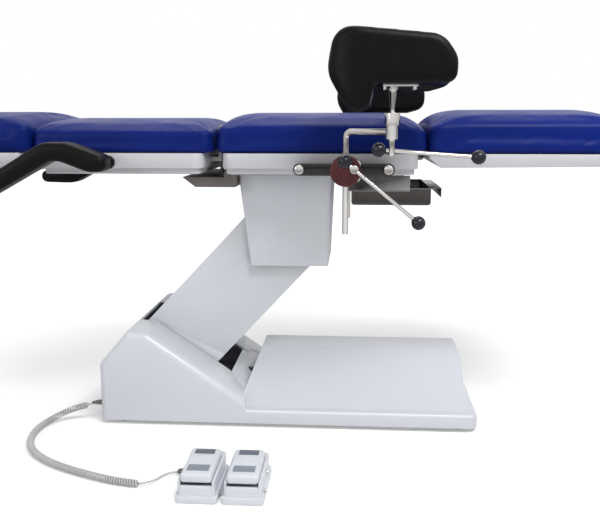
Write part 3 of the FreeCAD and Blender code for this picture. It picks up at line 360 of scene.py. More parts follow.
# The bracket's brown grey is its paint darkened by painted shade.
bracket_paint_and_shade = finish("brown grey paint with painted shade", (0.13, 0.11, 0.10), 0.42, scale=1300, relief=0.2, edge=0.6,
                       wear_and_highlight_colour=(0.32, 0.3, 0.28))
frame_paint = finish("grey frame paint", (0.22, 0.23, 0.25), 0.45, scale=1300, relief=0.25, edge=0.6,
                     wear_and_highlight_colour=(0.45, 0.45, 0.46))
dark_plastic = finish("dark plastic", (0.02, 0.02, 0.022), 0.4, scale=1600, relief=0.15, shade=0.15,
                      specular=0.3)
knob_plastic = finish("knob plastic", (0.012, 0.013, 0.020), 0.22, scale=2400, relief=0.04, shade=0.2,
                      specular=0.25, coat=0.1, coat_rough=0.12, cloud=60)
# The discs' dark red is a painted red reflection.
maroon = finish("dark red disc with painted reflection", (0.095, 0.022, 0.025), 0.28, scale=2400, relief=0.05, shade=0.25,
                cloud=30, specular=0.25, coat=0.1)
cord_skin = finish("grey cord skin", (0.50, 0.51, 0.52), 0.38, scale=2600, relief=0.08, shade=0.05,
                   cloud=30)
gland_grey = finish("grey gland rubber", (0.13, 0.135, 0.13), 0.5, scale=1800, relief=0.15, shade=0.1)
window_grey = finish("grey window", (0.22, 0.25, 0.29), 0.3, scale=2400, relief=0.05, shade=0.1)
bumper_grey = finish("dark grey bumper", (0.12, 0.14, 0.17), 0.42, scale=1800, relief=0.15, shade=0.1)

# %% [markdown]
# ## The cord
# The foot switch hangs on a light grey curly cord. The photograph shows all of it: a short straight
# stretch out of the base, a long wound stretch that lies in a bow on the floor, and a short straight
# stretch into the gland of the foot switch. It is one curve. Its route is a smooth spline along the
# points that the part's source uses, and the wound stretch goes round that route in a helix.

# %% Route of the cord, in millimetres as in the part's source
BASE_END = [(-532.3, -249, 58), (-557, -249, 56.9), (-580, -249, 50)]
WOUND = [(-640, -249, 32), (-688, -290, 12), (-700, -350, 10), (-688, -425, 10), (-655, -492, 10),
         (-600, -548, 10), (-530, -592, 10), (-455, -626, 10), (-390, -652, 10), (-340, -662, 10)]
SWITCH_END = [(-318, -666.4, 10), (-292, -646, 9), (-280, -616, 8), (-262, -590, 8), (-238, -590, 8)]
CORD_RADIUS = 0.0026
TURN_RADIUS = 0.0073
TURN_PITCH = 0.0070
POINTS_PER_TURN = 12
FADE_STEPS = 18
STRAIGHT_AT_BASE = 0.050
STRAIGHT_AT_SWITCH = 0.118


def round_spline(name, points, radius):
    """A round cord along a smooth spline whose control points are given in metres."""
    curve = bpy.data.curves.new(name, "CURVE")
    curve.dimensions = "3D"
    spline = curve.splines.new("NURBS")
    spline.points.add(len(points) - 1)
    for point, at in zip(spline.points, points):
        point.co = (*at, 1)
    spline.order_u = 3
    spline.use_endpoint_u = True
    curve.bevel_depth = radius
    curve.bevel_resolution = 2
    curve.resolution_u = 3
    curve.use_fill_caps = True
    piece = bpy.data.objects.new(name, curve)
    scene.collection.objects.link(piece)
    return piece


def centre_line(points, steps):
    """Evenly spread places along the spline of some points, read from Blender's own curve."""
    guide = round_spline("guide", points, 0)
    guide.data.resolution_u = steps
    mesh = bpy.data.meshes.new_from_object(guide)
    line = [vertex.co.copy() for vertex in mesh.vertices]
    bpy.data.objects.remove(guide)
    bpy.data.meshes.remove(mesh)
    return line


def wound(line, start, end):
    """A helix round a line, from one length along it to another, that grows and fades at its ends."""
    lengths = [0.0]
    for here, ahead in zip(line, line[1:]):
        lengths.append(lengths[-1] + (ahead - here).length)
    count = int((end - start) / TURN_PITCH * POINTS_PER_TURN)
    out = []
    at = 0
    normal = Vector((0, 0, 1))
    for step in range(count + 1):
        along = start + (end - start) * step / count
        while lengths[at + 1] < along and at < len(line) - 2:
            at += 1
        share = (along - lengths[at]) / max(1e-9, lengths[at + 1] - lengths[at])
        centre = line[at].lerp(line[at + 1], share)
        ahead = (line[at + 1] - line[at]).normalized()
        normal = (normal - ahead * normal.dot(ahead)).normalized()
        across = ahead.cross(normal)
        angle = 2 * math.pi * step / POINTS_PER_TURN
        fade = min(1, step / FADE_STEPS, (count - step) / FADE_STEPS)
        swing = TURN_RADIUS * fade * fade * (3 - 2 * fade)
        out.append(centre + (normal * math.cos(angle) + across * math.sin(angle)) * swing)
    return out


# %% The cord's own spline


def metres(points):
    """Points in millimetres as vectors in metres."""
    return [Vector(point) / 1000 for point in points]


route = metres(BASE_END + WOUND + SWITCH_END)
route_line = centre_line(route, 24)
route_length = sum((b - a).length for a, b in zip(route_line, route_line[1:]))
turns = wound(route_line, STRAIGHT_AT_BASE, route_length - STRAIGHT_AT_SWITCH)
cord_points = metres(BASE_END)[:2] + turns + metres(SWITCH_END)[1:]
cord = round_spline("foot_switch_cord", cord_points, CORD_RADIUS)
cord_line = centre_line(cord_points, 4)

# %% The cord's finish and what it stands for
cord.data.materials.append(cord_skin)
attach(cord, "base")
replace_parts(cord, "cord_base_end", "cord_coil", "cord_switch_end")

# %% [markdown]
# ## Rigid parts
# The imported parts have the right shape, but their edges are dead sharp and their round faces are made of
# flat strips. A copy of each part is merged into one skin and shaded smooth, and gets a fine bevel on its
# sharp edges, because a moulded or a machined edge always catches a thread of light.

# %% Copies with soft edges


def softened(name, material, bevel=0.0012, angle=32, carve=None):
    """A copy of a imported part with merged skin, bevelled edges and smooth shading."""
    piece = skin_of(name)
    bpy.ops.object.mode_set(mode="EDIT")
    bpy.ops.mesh.select_all(action="SELECT")
    bpy.ops.mesh.customdata_custom_splitnormals_clear()
    bpy.ops.mesh.dissolve_limited(angle_limit=math.radians(0.5))
    bpy.ops.object.mode_set(mode="OBJECT")
    if carve:
        carve(piece)
    if bevel:
        finish_with(piece, "BEVEL", width=bevel, segments=2, limit_method="ANGLE",
                    angle_limit=math.radians(angle), harden_normals=False, use_clamp_overlap=True)
    smooth(piece, angle)
    record_slot = next(s["material_slot"] for s in frame["record"]["subparts"] if s["node"] == name)
    dress(piece, BODY[name], material, record_slot)
    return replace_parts(piece, name)


LOOKS = {
    "arm_cover": (white_plastic, 0.003),
    "column_cover": (white_plastic, 0.002), "seat_shell": (shaded_shell_plastic, 0.0015),
    "back_shell": (shaded_shell_plastic, 0.0015), "head_shell": (shaded_shell_plastic, 0.0015),
    "leg_shell": (shaded_shell_plastic, 0.003), "switch_housings": (white_plastic, 0.0015),
    "hinge_bracket": (bracket_paint_and_shade, 0.001), "side_rails": (rail_steel, 0.001),
    "rail_bolts": (chrome, 0.0005), "basin": (stainless, 0.0004), "basin_handle": (stainless, 0.0006),
    "basin_runners": (stainless, 0.0006), "mains_inlet": (dark_plastic, 0.002),
    "levelling_feet": (dark_plastic, 0.001),
    "hinge_leaves": (rail_steel, 0.0005), "hinge_knuckles": (rail_steel, 0.0005),
}
for side in SIDES:
    for part in ("clamp", "hub", "clamp_screw", "post", "joint_screw", "stud"):
        LOOKS[f"{side}_{part}"] = (chrome, 0.0008)
    LOOKS[f"{side}_disc"] = (maroon, 0.0006)
for name, (material, bevel) in LOOKS.items():
    softened(name, material, bevel)
print("softened", len(LOOKS), "parts")

# %% Parts that stay as they are packed
INSIDE = {"base_frame": frame_paint, "lift_arm": frame_paint, "column_frame": frame_paint,
          "seat_frame": frame_paint, "levelling_link": frame_paint, "arm_shafts": chrome,
          "lift_rod": chrome, "lift_motor": dark_plastic, "back_ironwork": rail_steel,
          "head_hinge": rail_steel}
for name, material in INSIDE.items():
    nodes[name].data.materials.clear()
    nodes[name].data.materials.append(material)

# %% [markdown]
# ## The base cover and the foot of the arm
# The rims of the hood lie in one sloping plane, and they close below the arm's slot in a cross rim. The
# ridge of the plinth ends there in a steep face. A copy of the base cover is carved with a cutter, and two
# blocks with sloped tops fill the place. The arm's own cover reaches down into the slot as a shell that
# is curved about the arm's pivot, so the slot never shows the works at any height of the table.

# %% Blocks with sloped tops
RIM_TOP = 0.264
RIM_AT = -0.406
RIM_FALL = 0.658
SLOT_END = -0.183
TOE = -0.133
RIDGE_START = -0.095
RIDGE_TOP = 0.183
RIDGE_HALF = 0.063
RIDGE_DRAFT = 181 / 132
SKIN_STEP = 0.0005
CROSS_HALF = 0.236
CROSS_BOTTOM = 0.075
CROSS_OVERLAP = 0.012
RIDGE_BOTTOM = 0.060
RIDGE_OVERLAP = 0.035
CUTTER_HALF = 0.35
CUTTER_BACK = 0.004
REAR_WALL = {"before": -0.5, "below": 0.2, "shift": -0.010}
RIDGE_END = {"after": 0.3, "above": 0.16, "shift": 0.022}


def rim_height(x):
    """Height of the sloping plane in which the rims of the hood lie."""
    return RIM_TOP - RIM_FALL * (x - RIM_AT)


def ridge_half(z):
    """Half the width of the plinth's ridge at a height."""
    return RIDGE_HALF + RIDGE_DRAFT * (RIDGE_TOP - z)


def shaped_block(name, corner):
    """A cube whose eight corners are put in place, from a rule on their three signs."""
    bpy.ops.object.select_all(action="DESELECT")
    bpy.ops.mesh.primitive_cube_add(size=2)
    piece = settle(name)
    for vertex in piece.data.vertices:
        vertex.co = Vector(corner(*(round(value) for value in vertex.co)))
    face_outwards(piece)
    return piece


def cross_corner(i, j, k):
    """Corners of the cross rim, which lies between the two rims below the slot."""
    x = SLOT_END if i < 0 else TOE + CROSS_OVERLAP
    return (x, j * CROSS_HALF, rim_height(x) - SKIN_STEP if k > 0 else CROSS_BOTTOM)


def ridge_corner(i, j, k):
    """Corners of the ridge's steep end."""
    z = RIDGE_TOP - SKIN_STEP if k > 0 else RIDGE_BOTTOM
    lean = (RIDGE_TOP - z) * (TOE - RIDGE_START) / (RIDGE_TOP - rim_height(TOE))
    x = RIDGE_START + (lean if i < 0 else RIDGE_OVERLAP)
    return (x, j * (ridge_half(z) - 2 * SKIN_STEP), z)


def cutter_corner(i, j, k):
    """Corners of the wedge that is cut away above the rims and in front of the ridge's end."""
    x = SLOT_END - CUTTER_BACK if i < 0 else TOE
    if k < 0:
        return (x, j * CUTTER_HALF, rim_height(x) + SKIN_STEP)
    return (x if i < 0 else RIDGE_START, j * CUTTER_HALF, RIDGE_TOP + SKIN_STEP)


def carve_base(piece):
    """Cuts the sloping end off the ridge, and trues the two ends of the base to the photograph."""
    cutter = shaped_block("ridge_cutter", cutter_corner)
    finish_with(piece, "BOOLEAN", operation="DIFFERENCE", object=cutter, solver="EXACT")
    bpy.data.objects.remove(cutter)
    for vertex in piece.data.vertices:
        if vertex.co.x < REAR_WALL["before"] and vertex.co.z < REAR_WALL["below"]:
            vertex.co.x += REAR_WALL["shift"]
        if vertex.co.x > RIDGE_END["after"] and vertex.co.z > RIDGE_END["above"]:
            vertex.co.x += RIDGE_END["shift"]


softened("base_cover", white_plastic, 0.003, carve=carve_base)
for name, corner in (("cross_rim", cross_corner), ("ridge_end", ridge_corner)):
    filler = shaped_block(name, corner)
    finish_with(filler, "BEVEL", width=0.0025, segments=2, limit_method="ANGLE")
    smooth(filler)
    dress(filler, "base", white_plastic, "white_moulding")

# %% The shell at the foot of the arm
ARM_PIVOT = Vector((-0.358, 0, 0.177))
ARM_SLOPE = 46.8
ARM_HALF = 0.119
ARM_SIDE = 0.1146
TAIL_TURN = 62
TAIL_STEPS = 14
TAIL_UPPER_EDGE = 0.034
TAIL_LOWER_EDGE = 0.035
TAIL_LIP = 0.108
TAIL_WALL = 0.003


def in_arm(along, across, side):
    """A place in the space of the part, from its lengths along and across the slanted arm."""
    turn = math.radians(ARM_SLOPE)
    x = along * math.cos(turn) - across * math.sin(turn)
    z = along * math.sin(turn) + across * math.cos(turn)
    return ARM_PIVOT + Vector((x, side * ARM_SIDE, z))


def arm_tail():
    """A hollow shell that carries the arm's cover on, down into the hood."""
    arc = [math.radians(90 + TAIL_TURN * step / TAIL_STEPS) for step in range(TAIL_STEPS + 1)]
    rim = [(TAIL_UPPER_EDGE, ARM_HALF)] + [(ARM_HALF * math.cos(a), ARM_HALF * math.sin(a)) for a in arc]
    outline = rim + [(TAIL_LOWER_EDGE, -ARM_HALF), (TAIL_LIP, -ARM_HALF)]
    count = len(outline)
    points = [in_arm(*place, side) for side in (-1, 1) for place in outline]
    walls = [(i, i + 1, count + i + 1, count + i) for i in range(len(rim) - 1)]
    walls.append((count - 2, count - 1, 2 * count - 1, 2 * count - 2))
    cheeks = [tuple(range(count)), tuple(range(2 * count - 1, count - 1, -1))]
    mesh = bpy.data.meshes.new("arm_tail")
    mesh.from_pydata(points, [], cheeks + walls)
    tail = bpy.data.objects.new("arm_tail", mesh)
    scene.collection.objects.link(tail)
    face_outwards(tail)
    finish_with(tail, "SOLIDIFY", thickness=TAIL_WALL, offset=-1)
    smooth(tail, 30)
    return dress(tail, BODY["arm_cover"], white_plastic, "white_moulding")


arm_tail()

# %% [markdown]
# ## Cushions
# Each section carries a thick foam cushion under one sheet of glossy vinyl. It is flat below, swells up
# towards its middle and rounds off generously at its ends. A plain block with soft corners is remeshed
# evenly and blown up a little as cloth, with its underside held, so that it bulges as stretched vinyl does.

# %% A cushion blown up from a block
CUSHION_SHRINK = 0.003
CROWN = 0.024
SOFT_EDGE = 0.029
END_BULGE = 0.004
LOWER_EDGE = 0.006
SIDE_POWER = 2.2
END_POWER = 1.4
CUSHION_VOXEL = 0.0085
MOST_MOVEMENT = 0.006
# Height of each crest above the floor, and how far and over which reach its two ends fall.
CREST = {"seat_cushion": 0.879, "back_cushion": 0.864, "head_cushion": 0.882, "leg_cushion": 0.887}
END_DROP = {"seat_cushion": ((0.010, 0.09), (0.020, 0.12)), "back_cushion": ((0.0, 0.06), (0.004, 0.07)),
            "head_cushion": ((0.020, 0.09), (0.004, 0.07)), "leg_cushion": ((0.014, 0.10), (0.020, 0.10))}


def cushion_block(name, low, high):
    """A block whose upper and upright edges are widely rounded, and whose lower edges are crisper."""
    size = high - low + Vector((2 * END_BULGE, -2 * CUSHION_SHRINK, 0))
    bpy.ops.object.select_all(action="DESELECT")
    bpy.ops.mesh.primitive_cube_add(size=1, location=(low + high) / 2, scale=size)
    piece = settle(name)
    only(piece)
    bpy.ops.object.mode_set(mode="EDIT")
    bpy.ops.mesh.select_all(action="DESELECT")
    shape = bmesh.from_edit_mesh(piece.data)
    floor_level = low.z + 0.001
    for edge in shape.edges:
        edge.select_set(max(vertex.co.z for vertex in edge.verts) > floor_level)
    bmesh.update_edit_mesh(piece.data)
    bpy.ops.mesh.bevel(offset=SOFT_EDGE, segments=6, affect="EDGES")
    bpy.ops.object.mode_set(mode="OBJECT")
    finish_with(piece, "BEVEL", width=LOWER_EDGE, segments=2, limit_method="ANGLE",
                angle_limit=math.radians(60))
    return piece


def crown_of(at, low, high, ends):
    """How far the top of a cushion drops at a place, towards its sides and its two ends."""
    across = abs(at.y - (low.y + high.y) / 2) / ((high.y - low.y) / 2)
    drop = CROWN * across ** SIDE_POWER
    for (fall, reach), inwards in zip(ends, (at.x - low.x, high.x - at.x)):
        if inwards < reach:
            drop += fall * (1 - inwards / reach) ** END_POWER
    return drop


def make_cushion(name):
    """One blue cushion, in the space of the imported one."""
    low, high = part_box(name)
    high.z = CREST[name]
    piece = cushion_block(name + "_cover", low, high)
    finish_with(piece, "REMESH", mode="VOXEL", voxel_size=CUSHION_VOXEL)
    height = high.z - low.z
    for vertex in piece.data.vertices:
        up = max(0, (vertex.co.z - low.z) / height)
        vertex.co.z -= crown_of(vertex.co, low, high, END_DROP[name]) * up * up
    finish_with(piece, "SMOOTH", factor=0.5, iterations=6)
    rest = [vertex.co.copy() for vertex in piece.data.vertices]
    blow_up(piece, low.z + 0.004)
    cap_movement(piece, rest, MOST_MOVEMENT)
    for vertex in piece.data.vertices:
        vertex.co.z = max(vertex.co.z, low.z + 0.0005)
    finish_with(piece, "SUBSURF", levels=1, render_levels=1)
    only(piece)
    bpy.ops.object.shade_smooth()
    dress(piece, BODY[name], vinyl, "blue_vinyl")
    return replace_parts(piece, name)


def blow_up(piece, pinned_below):
    """Runs Blender's cloth with air pressure on a piece whose underside is held."""
    held = piece.vertex_groups.new(name="held")
    held.add([v.index for v in piece.data.vertices if v.co.z < pinned_below], 1.0, "REPLACE")
    only(piece)
    cloth = piece.modifiers.new("Cloth", "CLOTH")
    cloth.settings.use_pressure = True
    cloth.settings.uniform_pressure_force = 3.0
    cloth.settings.effector_weights.gravity = 0
    cloth.settings.vertex_group_mass = "held"
    cloth.settings.quality = 4
    cloth.settings.tension_stiffness = 25
    cloth.settings.compression_stiffness = 25
    cloth.settings.bending_stiffness = 4
    cloth.collision_settings.use_collision = False
    for number in range(1, 21):
        scene.frame_set(number)
    bpy.ops.object.modifier_apply(modifier=cloth.name)
    scene.frame_set(1)
    piece.vertex_groups.clear()


def cap_movement(piece, rest, most):
    """Pulls back every point that has moved further than a limit."""
    for vertex, before in zip(piece.data.vertices, rest):
        moved = vertex.co - before
        if moved.length > most:
            vertex.co = before + moved.normalized() * most


for name in ("seat_cushion", "back_cushion", "head_cushion", "leg_cushion"):
    make_cushion(name)
print("cushions done")

# %% [markdown]
# ## Knee crutches and armrests
# These are moulded from black foam with a closed skin. The crutch is a trough, deep and flared where the
# thigh lies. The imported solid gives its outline. A copy is remeshed and relaxed until it has no sharp
# edge left. The hip end of the crutch is drawn in a little, and the lower edge of its inner wall hangs
# down, as in the photograph.

# %% Moulded foam pieces
FOAM_VOXEL = 0.005
FOAM_RELAX = 14
HIP_REACH = 0.085
HIP_DRAWN_IN = 0.38
EDGE_FROM = 0.10
EDGE_TO = 0.06
EDGE_INWARDS = 0.012
EDGE_BLEND = 0.03
EDGE_DROP = 0.016


def shape_crutch(piece, low, high):
    """Draws in the hip end of a crutch and lowers the edge of its inner wall."""
    middle = (low + high) / 2
    to_the_table = 1 if middle.y < 0 else -1
    for vertex in piece.data.vertices:
        flare = max(0, 1 - (vertex.co.x - low.x) / HIP_REACH)
        vertex.co.y = middle.y + (vertex.co.y - middle.y) * (1 - HIP_DRAWN_IN * flare ** 2)
        inwards = (vertex.co.y - middle.y) * to_the_table
        if vertex.co.z < middle.z and vertex.co.x > low.x + EDGE_FROM:
            blend = max(0, min(1, (inwards - EDGE_INWARDS) / EDGE_BLEND))
            vertex.co.z -= EDGE_DROP * blend * min(1, (high.x - vertex.co.x) / EDGE_TO)


def make_foam(name):
    """A black foam part with a smooth closed skin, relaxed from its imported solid."""
    piece = skin_of(name)
    finish_with(piece, "REMESH", mode="VOXEL", voxel_size=FOAM_VOXEL)
    finish_with(piece, "SMOOTH", factor=0.5, iterations=FOAM_RELAX)
    if "crutch" in name:
        shape_crutch(piece, *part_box(name))
    finish_with(piece, "SUBSURF", levels=1, render_levels=1)
    only(piece)
    bpy.ops.object.shade_smooth()
    dress(piece, BODY[name], black_foam, "black_foam")
    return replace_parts(piece, name)


for side in SIDES:
    make_foam(f"{side}_crutch_pad")
    make_foam(f"{side}_armrest")

# %% [markdown]
# ## Locking bars
# Each locking bar is a chrome rod that slides through the head of a screw, with a dark plastic ball
# pressed on each end. The ball has a short collar on the side of the rod.

# %% Locking bars
BAR_RADIUS = 0.005
BALL_RADIUS = 0.0178
COLLAR = 0.001
COLLAR_FROM = 0.90
BAR_SLOPE = {"clamp": 39.4, "joint": 4.0}


def aimed(direction):
    """The turn that brings an upright primitive onto a direction."""
    return Vector(direction).to_track_quat("Z", "Y").to_euler()


def rod_between(name, start, end, radius):
    """A round rod with rounded ends."""
    way = end - start
    bpy.ops.object.select_all(action="DESELECT")
    bpy.ops.mesh.primitive_cylinder_add(vertices=24, radius=radius, depth=way.length,
                                        location=(start + end) / 2, rotation=aimed(way))
    rod = settle(name)
    finish_with(rod, "BEVEL", width=radius * 0.25, segments=2, limit_method="ANGLE")
    smooth(rod)
    return rod


def ball_with_collar(name, centre, inward):
    """A ball knob whose collar faces the rod."""
    bpy.ops.object.select_all(action="DESELECT")
    bpy.ops.mesh.primitive_uv_sphere_add(segments=32, ring_count=20, radius=BALL_RADIUS,
                                         location=centre, rotation=aimed(inward))
    knob = bpy.context.object
    bpy.ops.object.mode_set(mode="EDIT")
    bpy.ops.mesh.select_all(action="DESELECT")
    shape = bmesh.from_edit_mesh(knob.data)
    for face in shape.faces:
        face.select_set(face.calc_center_median().z > BALL_RADIUS * COLLAR_FROM)
    bmesh.update_edit_mesh(knob.data)
    bpy.ops.mesh.extrude_region_move(TRANSFORM_OT_translate={"value": inward.normalized() * COLLAR})
    bpy.ops.object.mode_set(mode="OBJECT")
    knob = settle(name)
    smooth(knob, 40)
    return knob


def make_bar(side, kind):
    """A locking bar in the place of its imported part."""
    node = f"{side}_{kind}_bar"
    low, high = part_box(node)
    slope = math.radians(BAR_SLOPE[kind])
    way = Vector((math.cos(slope), 0, -math.sin(slope)))
    first = Vector((low.x + BALL_RADIUS, (low.y + high.y) / 2, high.z - BALL_RADIUS))
    last = Vector((high.x - BALL_RADIUS, (low.y + high.y) / 2, low.z + BALL_RADIUS))
    rod = rod_between(f"{node}_rod", first, last, BAR_RADIUS)
    dress(rod, BODY[node], chrome, "chrome")
    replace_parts(rod, node)
    for number, (centre, inward) in enumerate(((first, way), (last, -way))):
        knob = ball_with_collar(f"{node}_knob_{number + 1}", centre, inward)
        dress(knob, BODY[node], knob_plastic, "dark_plastic")


for side in SIDES:
    for kind in BAR_SLOPE:
        make_bar(side, kind)

# %% [markdown]
# ## Foot switch
# Two pedal units stand side by side. Each pedal is a white treadle with a thick rounded lip. A grey window
# lies in its tread and a darker bumper behind it. The housing closes the front below the lip, and two
# small screws hold its right side. The treadle starts as a block, whose top is sloped in edit mode.

# %% Pedals
LIP_BOTTOM = 0.0465
TREAD_FALL = 0.004
PLATE_DEPTH = 0.004
# Where the window and the bumper start and end, from the pedal's near or far edge.
WINDOW = (0.020, 0.052)
BUMPER = (0.034, 0.010)
RIBS = 5
RIBS_FROM = 0.062
RIB_PITCH = 0.008
RIB_WIDTH = 0.0035
FRONT_BOTTOM = 0.014
FRONT_GAP = 0.0062


def slab(name, low, high, bevel, segments=3, fall=0.0):
    """A block between two corners with rounded edges, whose top falls towards the near side."""
    bpy.ops.object.select_all(action="DESELECT")
    bpy.ops.mesh.primitive_cube_add(size=1, location=(low + high) / 2, scale=high - low)
    piece = settle(name)
    for vertex in piece.data.vertices:
        if vertex.co.z > high.z - 0.0001 and vertex.co.y < (low.y + high.y) / 2:
            vertex.co.z -= fall
    finish_with(piece, "BEVEL", width=bevel, segments=segments, limit_method="ANGLE")
    smooth(piece)
    return piece


def on_tread(node, name, span, half, rise, finishing):
    """A thin plate let into a tread, which follows its slope."""
    low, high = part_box(node)
    near, far = span
    middle = (low.x + high.x) / 2
    level = high.z - TREAD_FALL * (1 - (near + far - 2 * low.y) / (2 * (high.y - low.y)))
    tilt = TREAD_FALL * (far - near) / (high.y - low.y)
    plate = slab(f"{node}_{name}", Vector((middle - half, near, level - PLATE_DEPTH)),
                 Vector((middle + half, far, level + tilt / 2 + rise)), 0.0009, 2, tilt)
    dress(plate, BODY[node], *finishing)


def make_pedal(node):
    """A treadle with a window, a bumper and ribs across its tread."""
    low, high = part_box(node)
    tread = slab(node + "_tread", Vector((low.x, low.y, LIP_BOTTOM)), high, 0.007, 4, TREAD_FALL)
    dress(tread, BODY[node], white_plastic, "white_moulding")
    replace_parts(tread, node)
    window = (low.y + WINDOW[0], low.y + WINDOW[1])
    on_tread(node, "window", window, 0.026, 0.0006, (window_grey, "dark_plastic"))
    bumper = (high.y - BUMPER[0], high.y - BUMPER[1])
    on_tread(node, "bumper", bumper, 0.024, 0.0016, (bumper_grey, "dark_plastic"))
    for row in range(RIBS):
        near = low.y + RIBS_FROM + row * RIB_PITCH
        on_tread(node, f"rib_{row + 1}", (near, near + RIB_WIDTH), 0.028, 0.0009,
                 (white_plastic, "white_moulding"))


def closed_front(node):
    """The fixed panel below a treadle's lip."""
    low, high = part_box(node)
    panel = slab(node + "_front", Vector((low.x - 0.0004, low.y - 0.0015, FRONT_BOTTOM)),
                 Vector((high.x + 0.0004, low.y + 0.006, LIP_BOTTOM - FRONT_GAP)), 0.0016)
    dress(panel, "base", white_plastic, "white_moulding")


for node in ("lift_pedal", "back_pedal"):
    make_pedal(node)
    closed_front(node)

# %% Gland, strain relief and side screws
SCREW_RADIUS = 0.0042
SCREW_DEPTH = 0.007
SCREW_PROUD = 0.0015
# Each side screw, from the housing's right face, its near face and the floor.
SIDE_SCREWS = ((0.0, 0.040, 0.020), (0.006, 0.118, 0.030))
GLAND_START = Vector((-0.2205, -0.590, 0.0110))
GLAND_WAY = (-1, 0, -0.06)
RELIEF_START = Vector((-0.541, -0.249, 0.0577))
RELIEF_WAY = (-1, 0, -0.07)


def side_screw(name, centre):
    """A round screw head that looks towards +X, with a bevelled rim and a dimple."""
    bpy.ops.object.select_all(action="DESELECT")
    bpy.ops.mesh.primitive_cylinder_add(vertices=32, radius=SCREW_RADIUS, depth=SCREW_DEPTH)
    screw = bpy.context.object
    bpy.ops.object.mode_set(mode="EDIT")
    bpy.ops.mesh.select_all(action="DESELECT")
    shape = bmesh.from_edit_mesh(screw.data)
    for face in shape.faces:
        face.select_set(face.normal.z > 0.9)
    bmesh.update_edit_mesh(screw.data)
    bpy.ops.mesh.inset(thickness=SCREW_RADIUS * 0.45)
    bpy.ops.transform.translate(value=(0, 0, -SCREW_DEPTH * 0.12))
    bpy.ops.object.mode_set(mode="OBJECT")
    screw.rotation_euler = aimed((1, 0, 0))
    screw.location = centre
    screw = settle(name)
    finish_with(screw, "BEVEL", width=SCREW_RADIUS * 0.12, segments=2, limit_method="ANGLE")
    smooth(screw)
    return dress(screw, "base", chrome, "chrome")


def turned(name, profile, start, direction, steps=32):
    """A solid of revolution from (length, radius) pairs, laid along a direction."""
    mesh = bpy.data.meshes.new(name)
    points = [(radius, 0, along) for along, radius in profile]
    mesh.from_pydata(points, [(i, i + 1) for i in range(len(points) - 1)], [])
    piece = bpy.data.objects.new(name, mesh)
    scene.collection.objects.link(piece)
    finish_with(piece, "SCREW", angle=2 * math.pi, steps=steps, render_steps=steps, axis="Z",
                use_merge_vertices=True, merge_threshold=MERGE_WITHIN, use_smooth_shade=True)
    face_outwards(piece)
    piece.rotation_euler = aimed(direction)
    piece.location = start
    settle(name)
    smooth(piece, 40)
    return piece


def ribbed(length, wide, narrow, ribs):
    """The outline of a tapered strain relief with rounded ribs, from its wide end to its narrow one."""
    profile = [(0, 0), (0, wide)]
    for rib in range(ribs):
        for part, groove in ((0.1, 1), (0.55, 1), (0.65, 0.8), (0.95, 0.8)):
            share = (rib + part) / ribs
            profile.append((length * share, (wide + (narrow - wide) * share) * groove))
    return profile + [(length, narrow * 0.8), (length, 0)]


gland = turned("switch_gland_skin", ribbed(0.025, 0.0106, 0.0062, 3), GLAND_START, GLAND_WAY)
dress(gland, BODY["switch_gland"], gland_grey, "dark_plastic")
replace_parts(gland, "switch_gland")
relief = turned("cord_relief", ribbed(0.030, 0.0085, 0.0045, 4), RELIEF_START, RELIEF_WAY)
dress(relief, "base", gland_grey, "dark_plastic")

housing_low, housing_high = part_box("switch_housings")
for number, (inside, near, up) in enumerate(SIDE_SCREWS):
    place = Vector((housing_high.x + SCREW_PROUD - inside, housing_low.y + near, up))
    side_screw(f"switch_side_screw_{number + 1}", place)

# %% [markdown]
# ## Floor, backdrop and light
# The photograph has a plain white background and almost no shadow. The floor takes the light and keeps
# the table's shadow, and the world is white where the camera or a mirror looks at it.

# %% Floor
NEAR_LIFT = 0.30
FAR_LIFT = 0.85
LIFT_FROM = 0.7
LIFT_TO = 2.2
WHITE = (1, 1, 1, 1)
bpy.ops.object.select_all(action="DESELECT")
bpy.ops.mesh.primitive_plane_add(size=30, location=(0, 0, -0.0004))
floor = settle("studio_floor")
floor_paint = bpy.data.materials.new("studio floor")
floor_paint.use_nodes = True
floor_tree = floor_paint.node_tree
floor_shader = floor_tree.nodes["Principled BSDF"]
floor_shader.inputs["Base Color"].default_value = (0.92, 0.92, 0.92, 1)
floor_shader.inputs["Roughness"].default_value = 0.9
floor_shader.inputs["Specular IOR Level"].default_value = 0.1
floor_shader.inputs["Emission Color"].default_value = WHITE
floor_eye = add(floor_tree, "ShaderNodeLightPath")
floor_place = add(floor_tree, "ShaderNodeTexCoord")
floor_reach = add(floor_tree, "ShaderNodeVectorMath", operation="LENGTH")
floor_rise = add(floor_tree, "ShaderNodeMapRange", interpolation_type="SMOOTHSTEP")
for label, value in (("From Min", LIFT_FROM), ("From Max", LIFT_TO),
                     ("To Min", NEAR_LIFT), ("To Max", FAR_LIFT)):
    floor_rise.inputs[label].default_value = value
floor_glow = add(floor_tree, "ShaderNodeMath", operation="MULTIPLY")
link(floor_tree, floor_place.outputs["Object"], floor_reach.inputs[0])
link(floor_tree, floor_reach.outputs["Value"], floor_rise.inputs["Value"])
link(floor_tree, floor_rise.outputs["Result"], floor_glow.inputs[1])
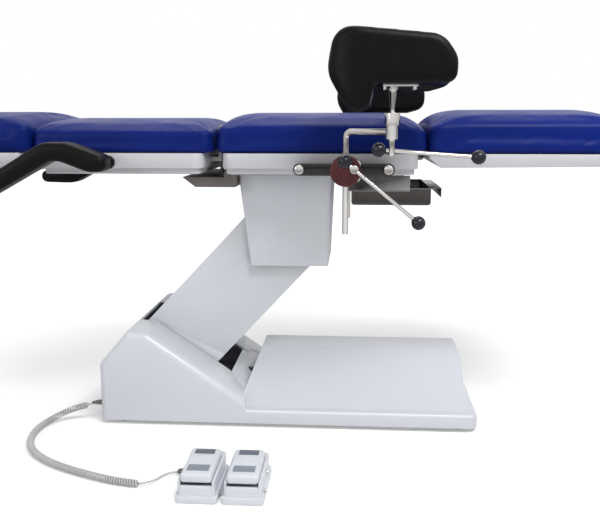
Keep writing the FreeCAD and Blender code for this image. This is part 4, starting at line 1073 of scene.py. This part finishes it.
link(floor_tree, floor_eye.outputs["Is Camera Ray"], floor_glow.inputs[0])
link(floor_tree, floor_glow.outputs[0], floor_shader.inputs["Emission Strength"])
floor.data.materials.append(floor_paint)


# %% World


def white_world(light, seen):
    """A world that lights softly and looks white to the camera and in mirrors."""
    world = scene.world or bpy.data.worlds.new("studio")
    scene.world = world
    world.use_nodes = True
    tree = world.node_tree
    tree.nodes.clear()
    out = add(tree, "ShaderNodeOutputWorld")
    soft = add(tree, "ShaderNodeBackground", Color=WHITE, Strength=light)
    bright = add(tree, "ShaderNodeBackground", Color=WHITE, Strength=seen)
    path = add(tree, "ShaderNodeLightPath")
    mirrored = add(tree, "ShaderNodeMath", operation="MAXIMUM")
    direct = add(tree, "ShaderNodeMath", operation="MAXIMUM")
    mix = add(tree, "ShaderNodeMixShader")
    link(tree, path.outputs["Is Glossy Ray"], mirrored.inputs[0])
    link(tree, path.outputs["Is Transmission Ray"], mirrored.inputs[1])
    link(tree, path.outputs["Is Camera Ray"], direct.inputs[0])
    link(tree, mirrored.outputs[0], direct.inputs[1])
    link(tree, direct.outputs[0], mix.inputs["Fac"])
    link(tree, soft.outputs[0], mix.inputs[1])
    link(tree, bright.outputs[0], mix.inputs[2])
    link(tree, mix.outputs[0], out.inputs["Surface"])


white_world(0.30, 1.0)

# %% Lamps


def soft_lamp(name, place, target, size, power):
    """A square lamp that looks at a point."""
    lamp = bpy.data.lights.new(name, "AREA")
    lamp.shape = "RECTANGLE"
    lamp.size, lamp.size_y = size
    lamp.energy = power
    thing = bpy.data.objects.new(name, lamp)
    thing.location = place
    thing.rotation_euler = (Vector(target) - Vector(place)).to_track_quat("-Z", "Y").to_euler()
    scene.collection.objects.link(thing)


soft_lamp("key", (1.3, -1.9, 3.1), (0, 0, 0.3), (1.8, 1.0), 92)
soft_lamp("fill", (-2.2, -2.6, 1.6), (0, 0, 0.5), (1.2, 1.2), 20)
soft_lamp("top", (-0.4, 0.8, 3.2), (0, 0, 0.7), (1.8, 1.2), 24)
scene.view_settings.view_transform = "Standard"
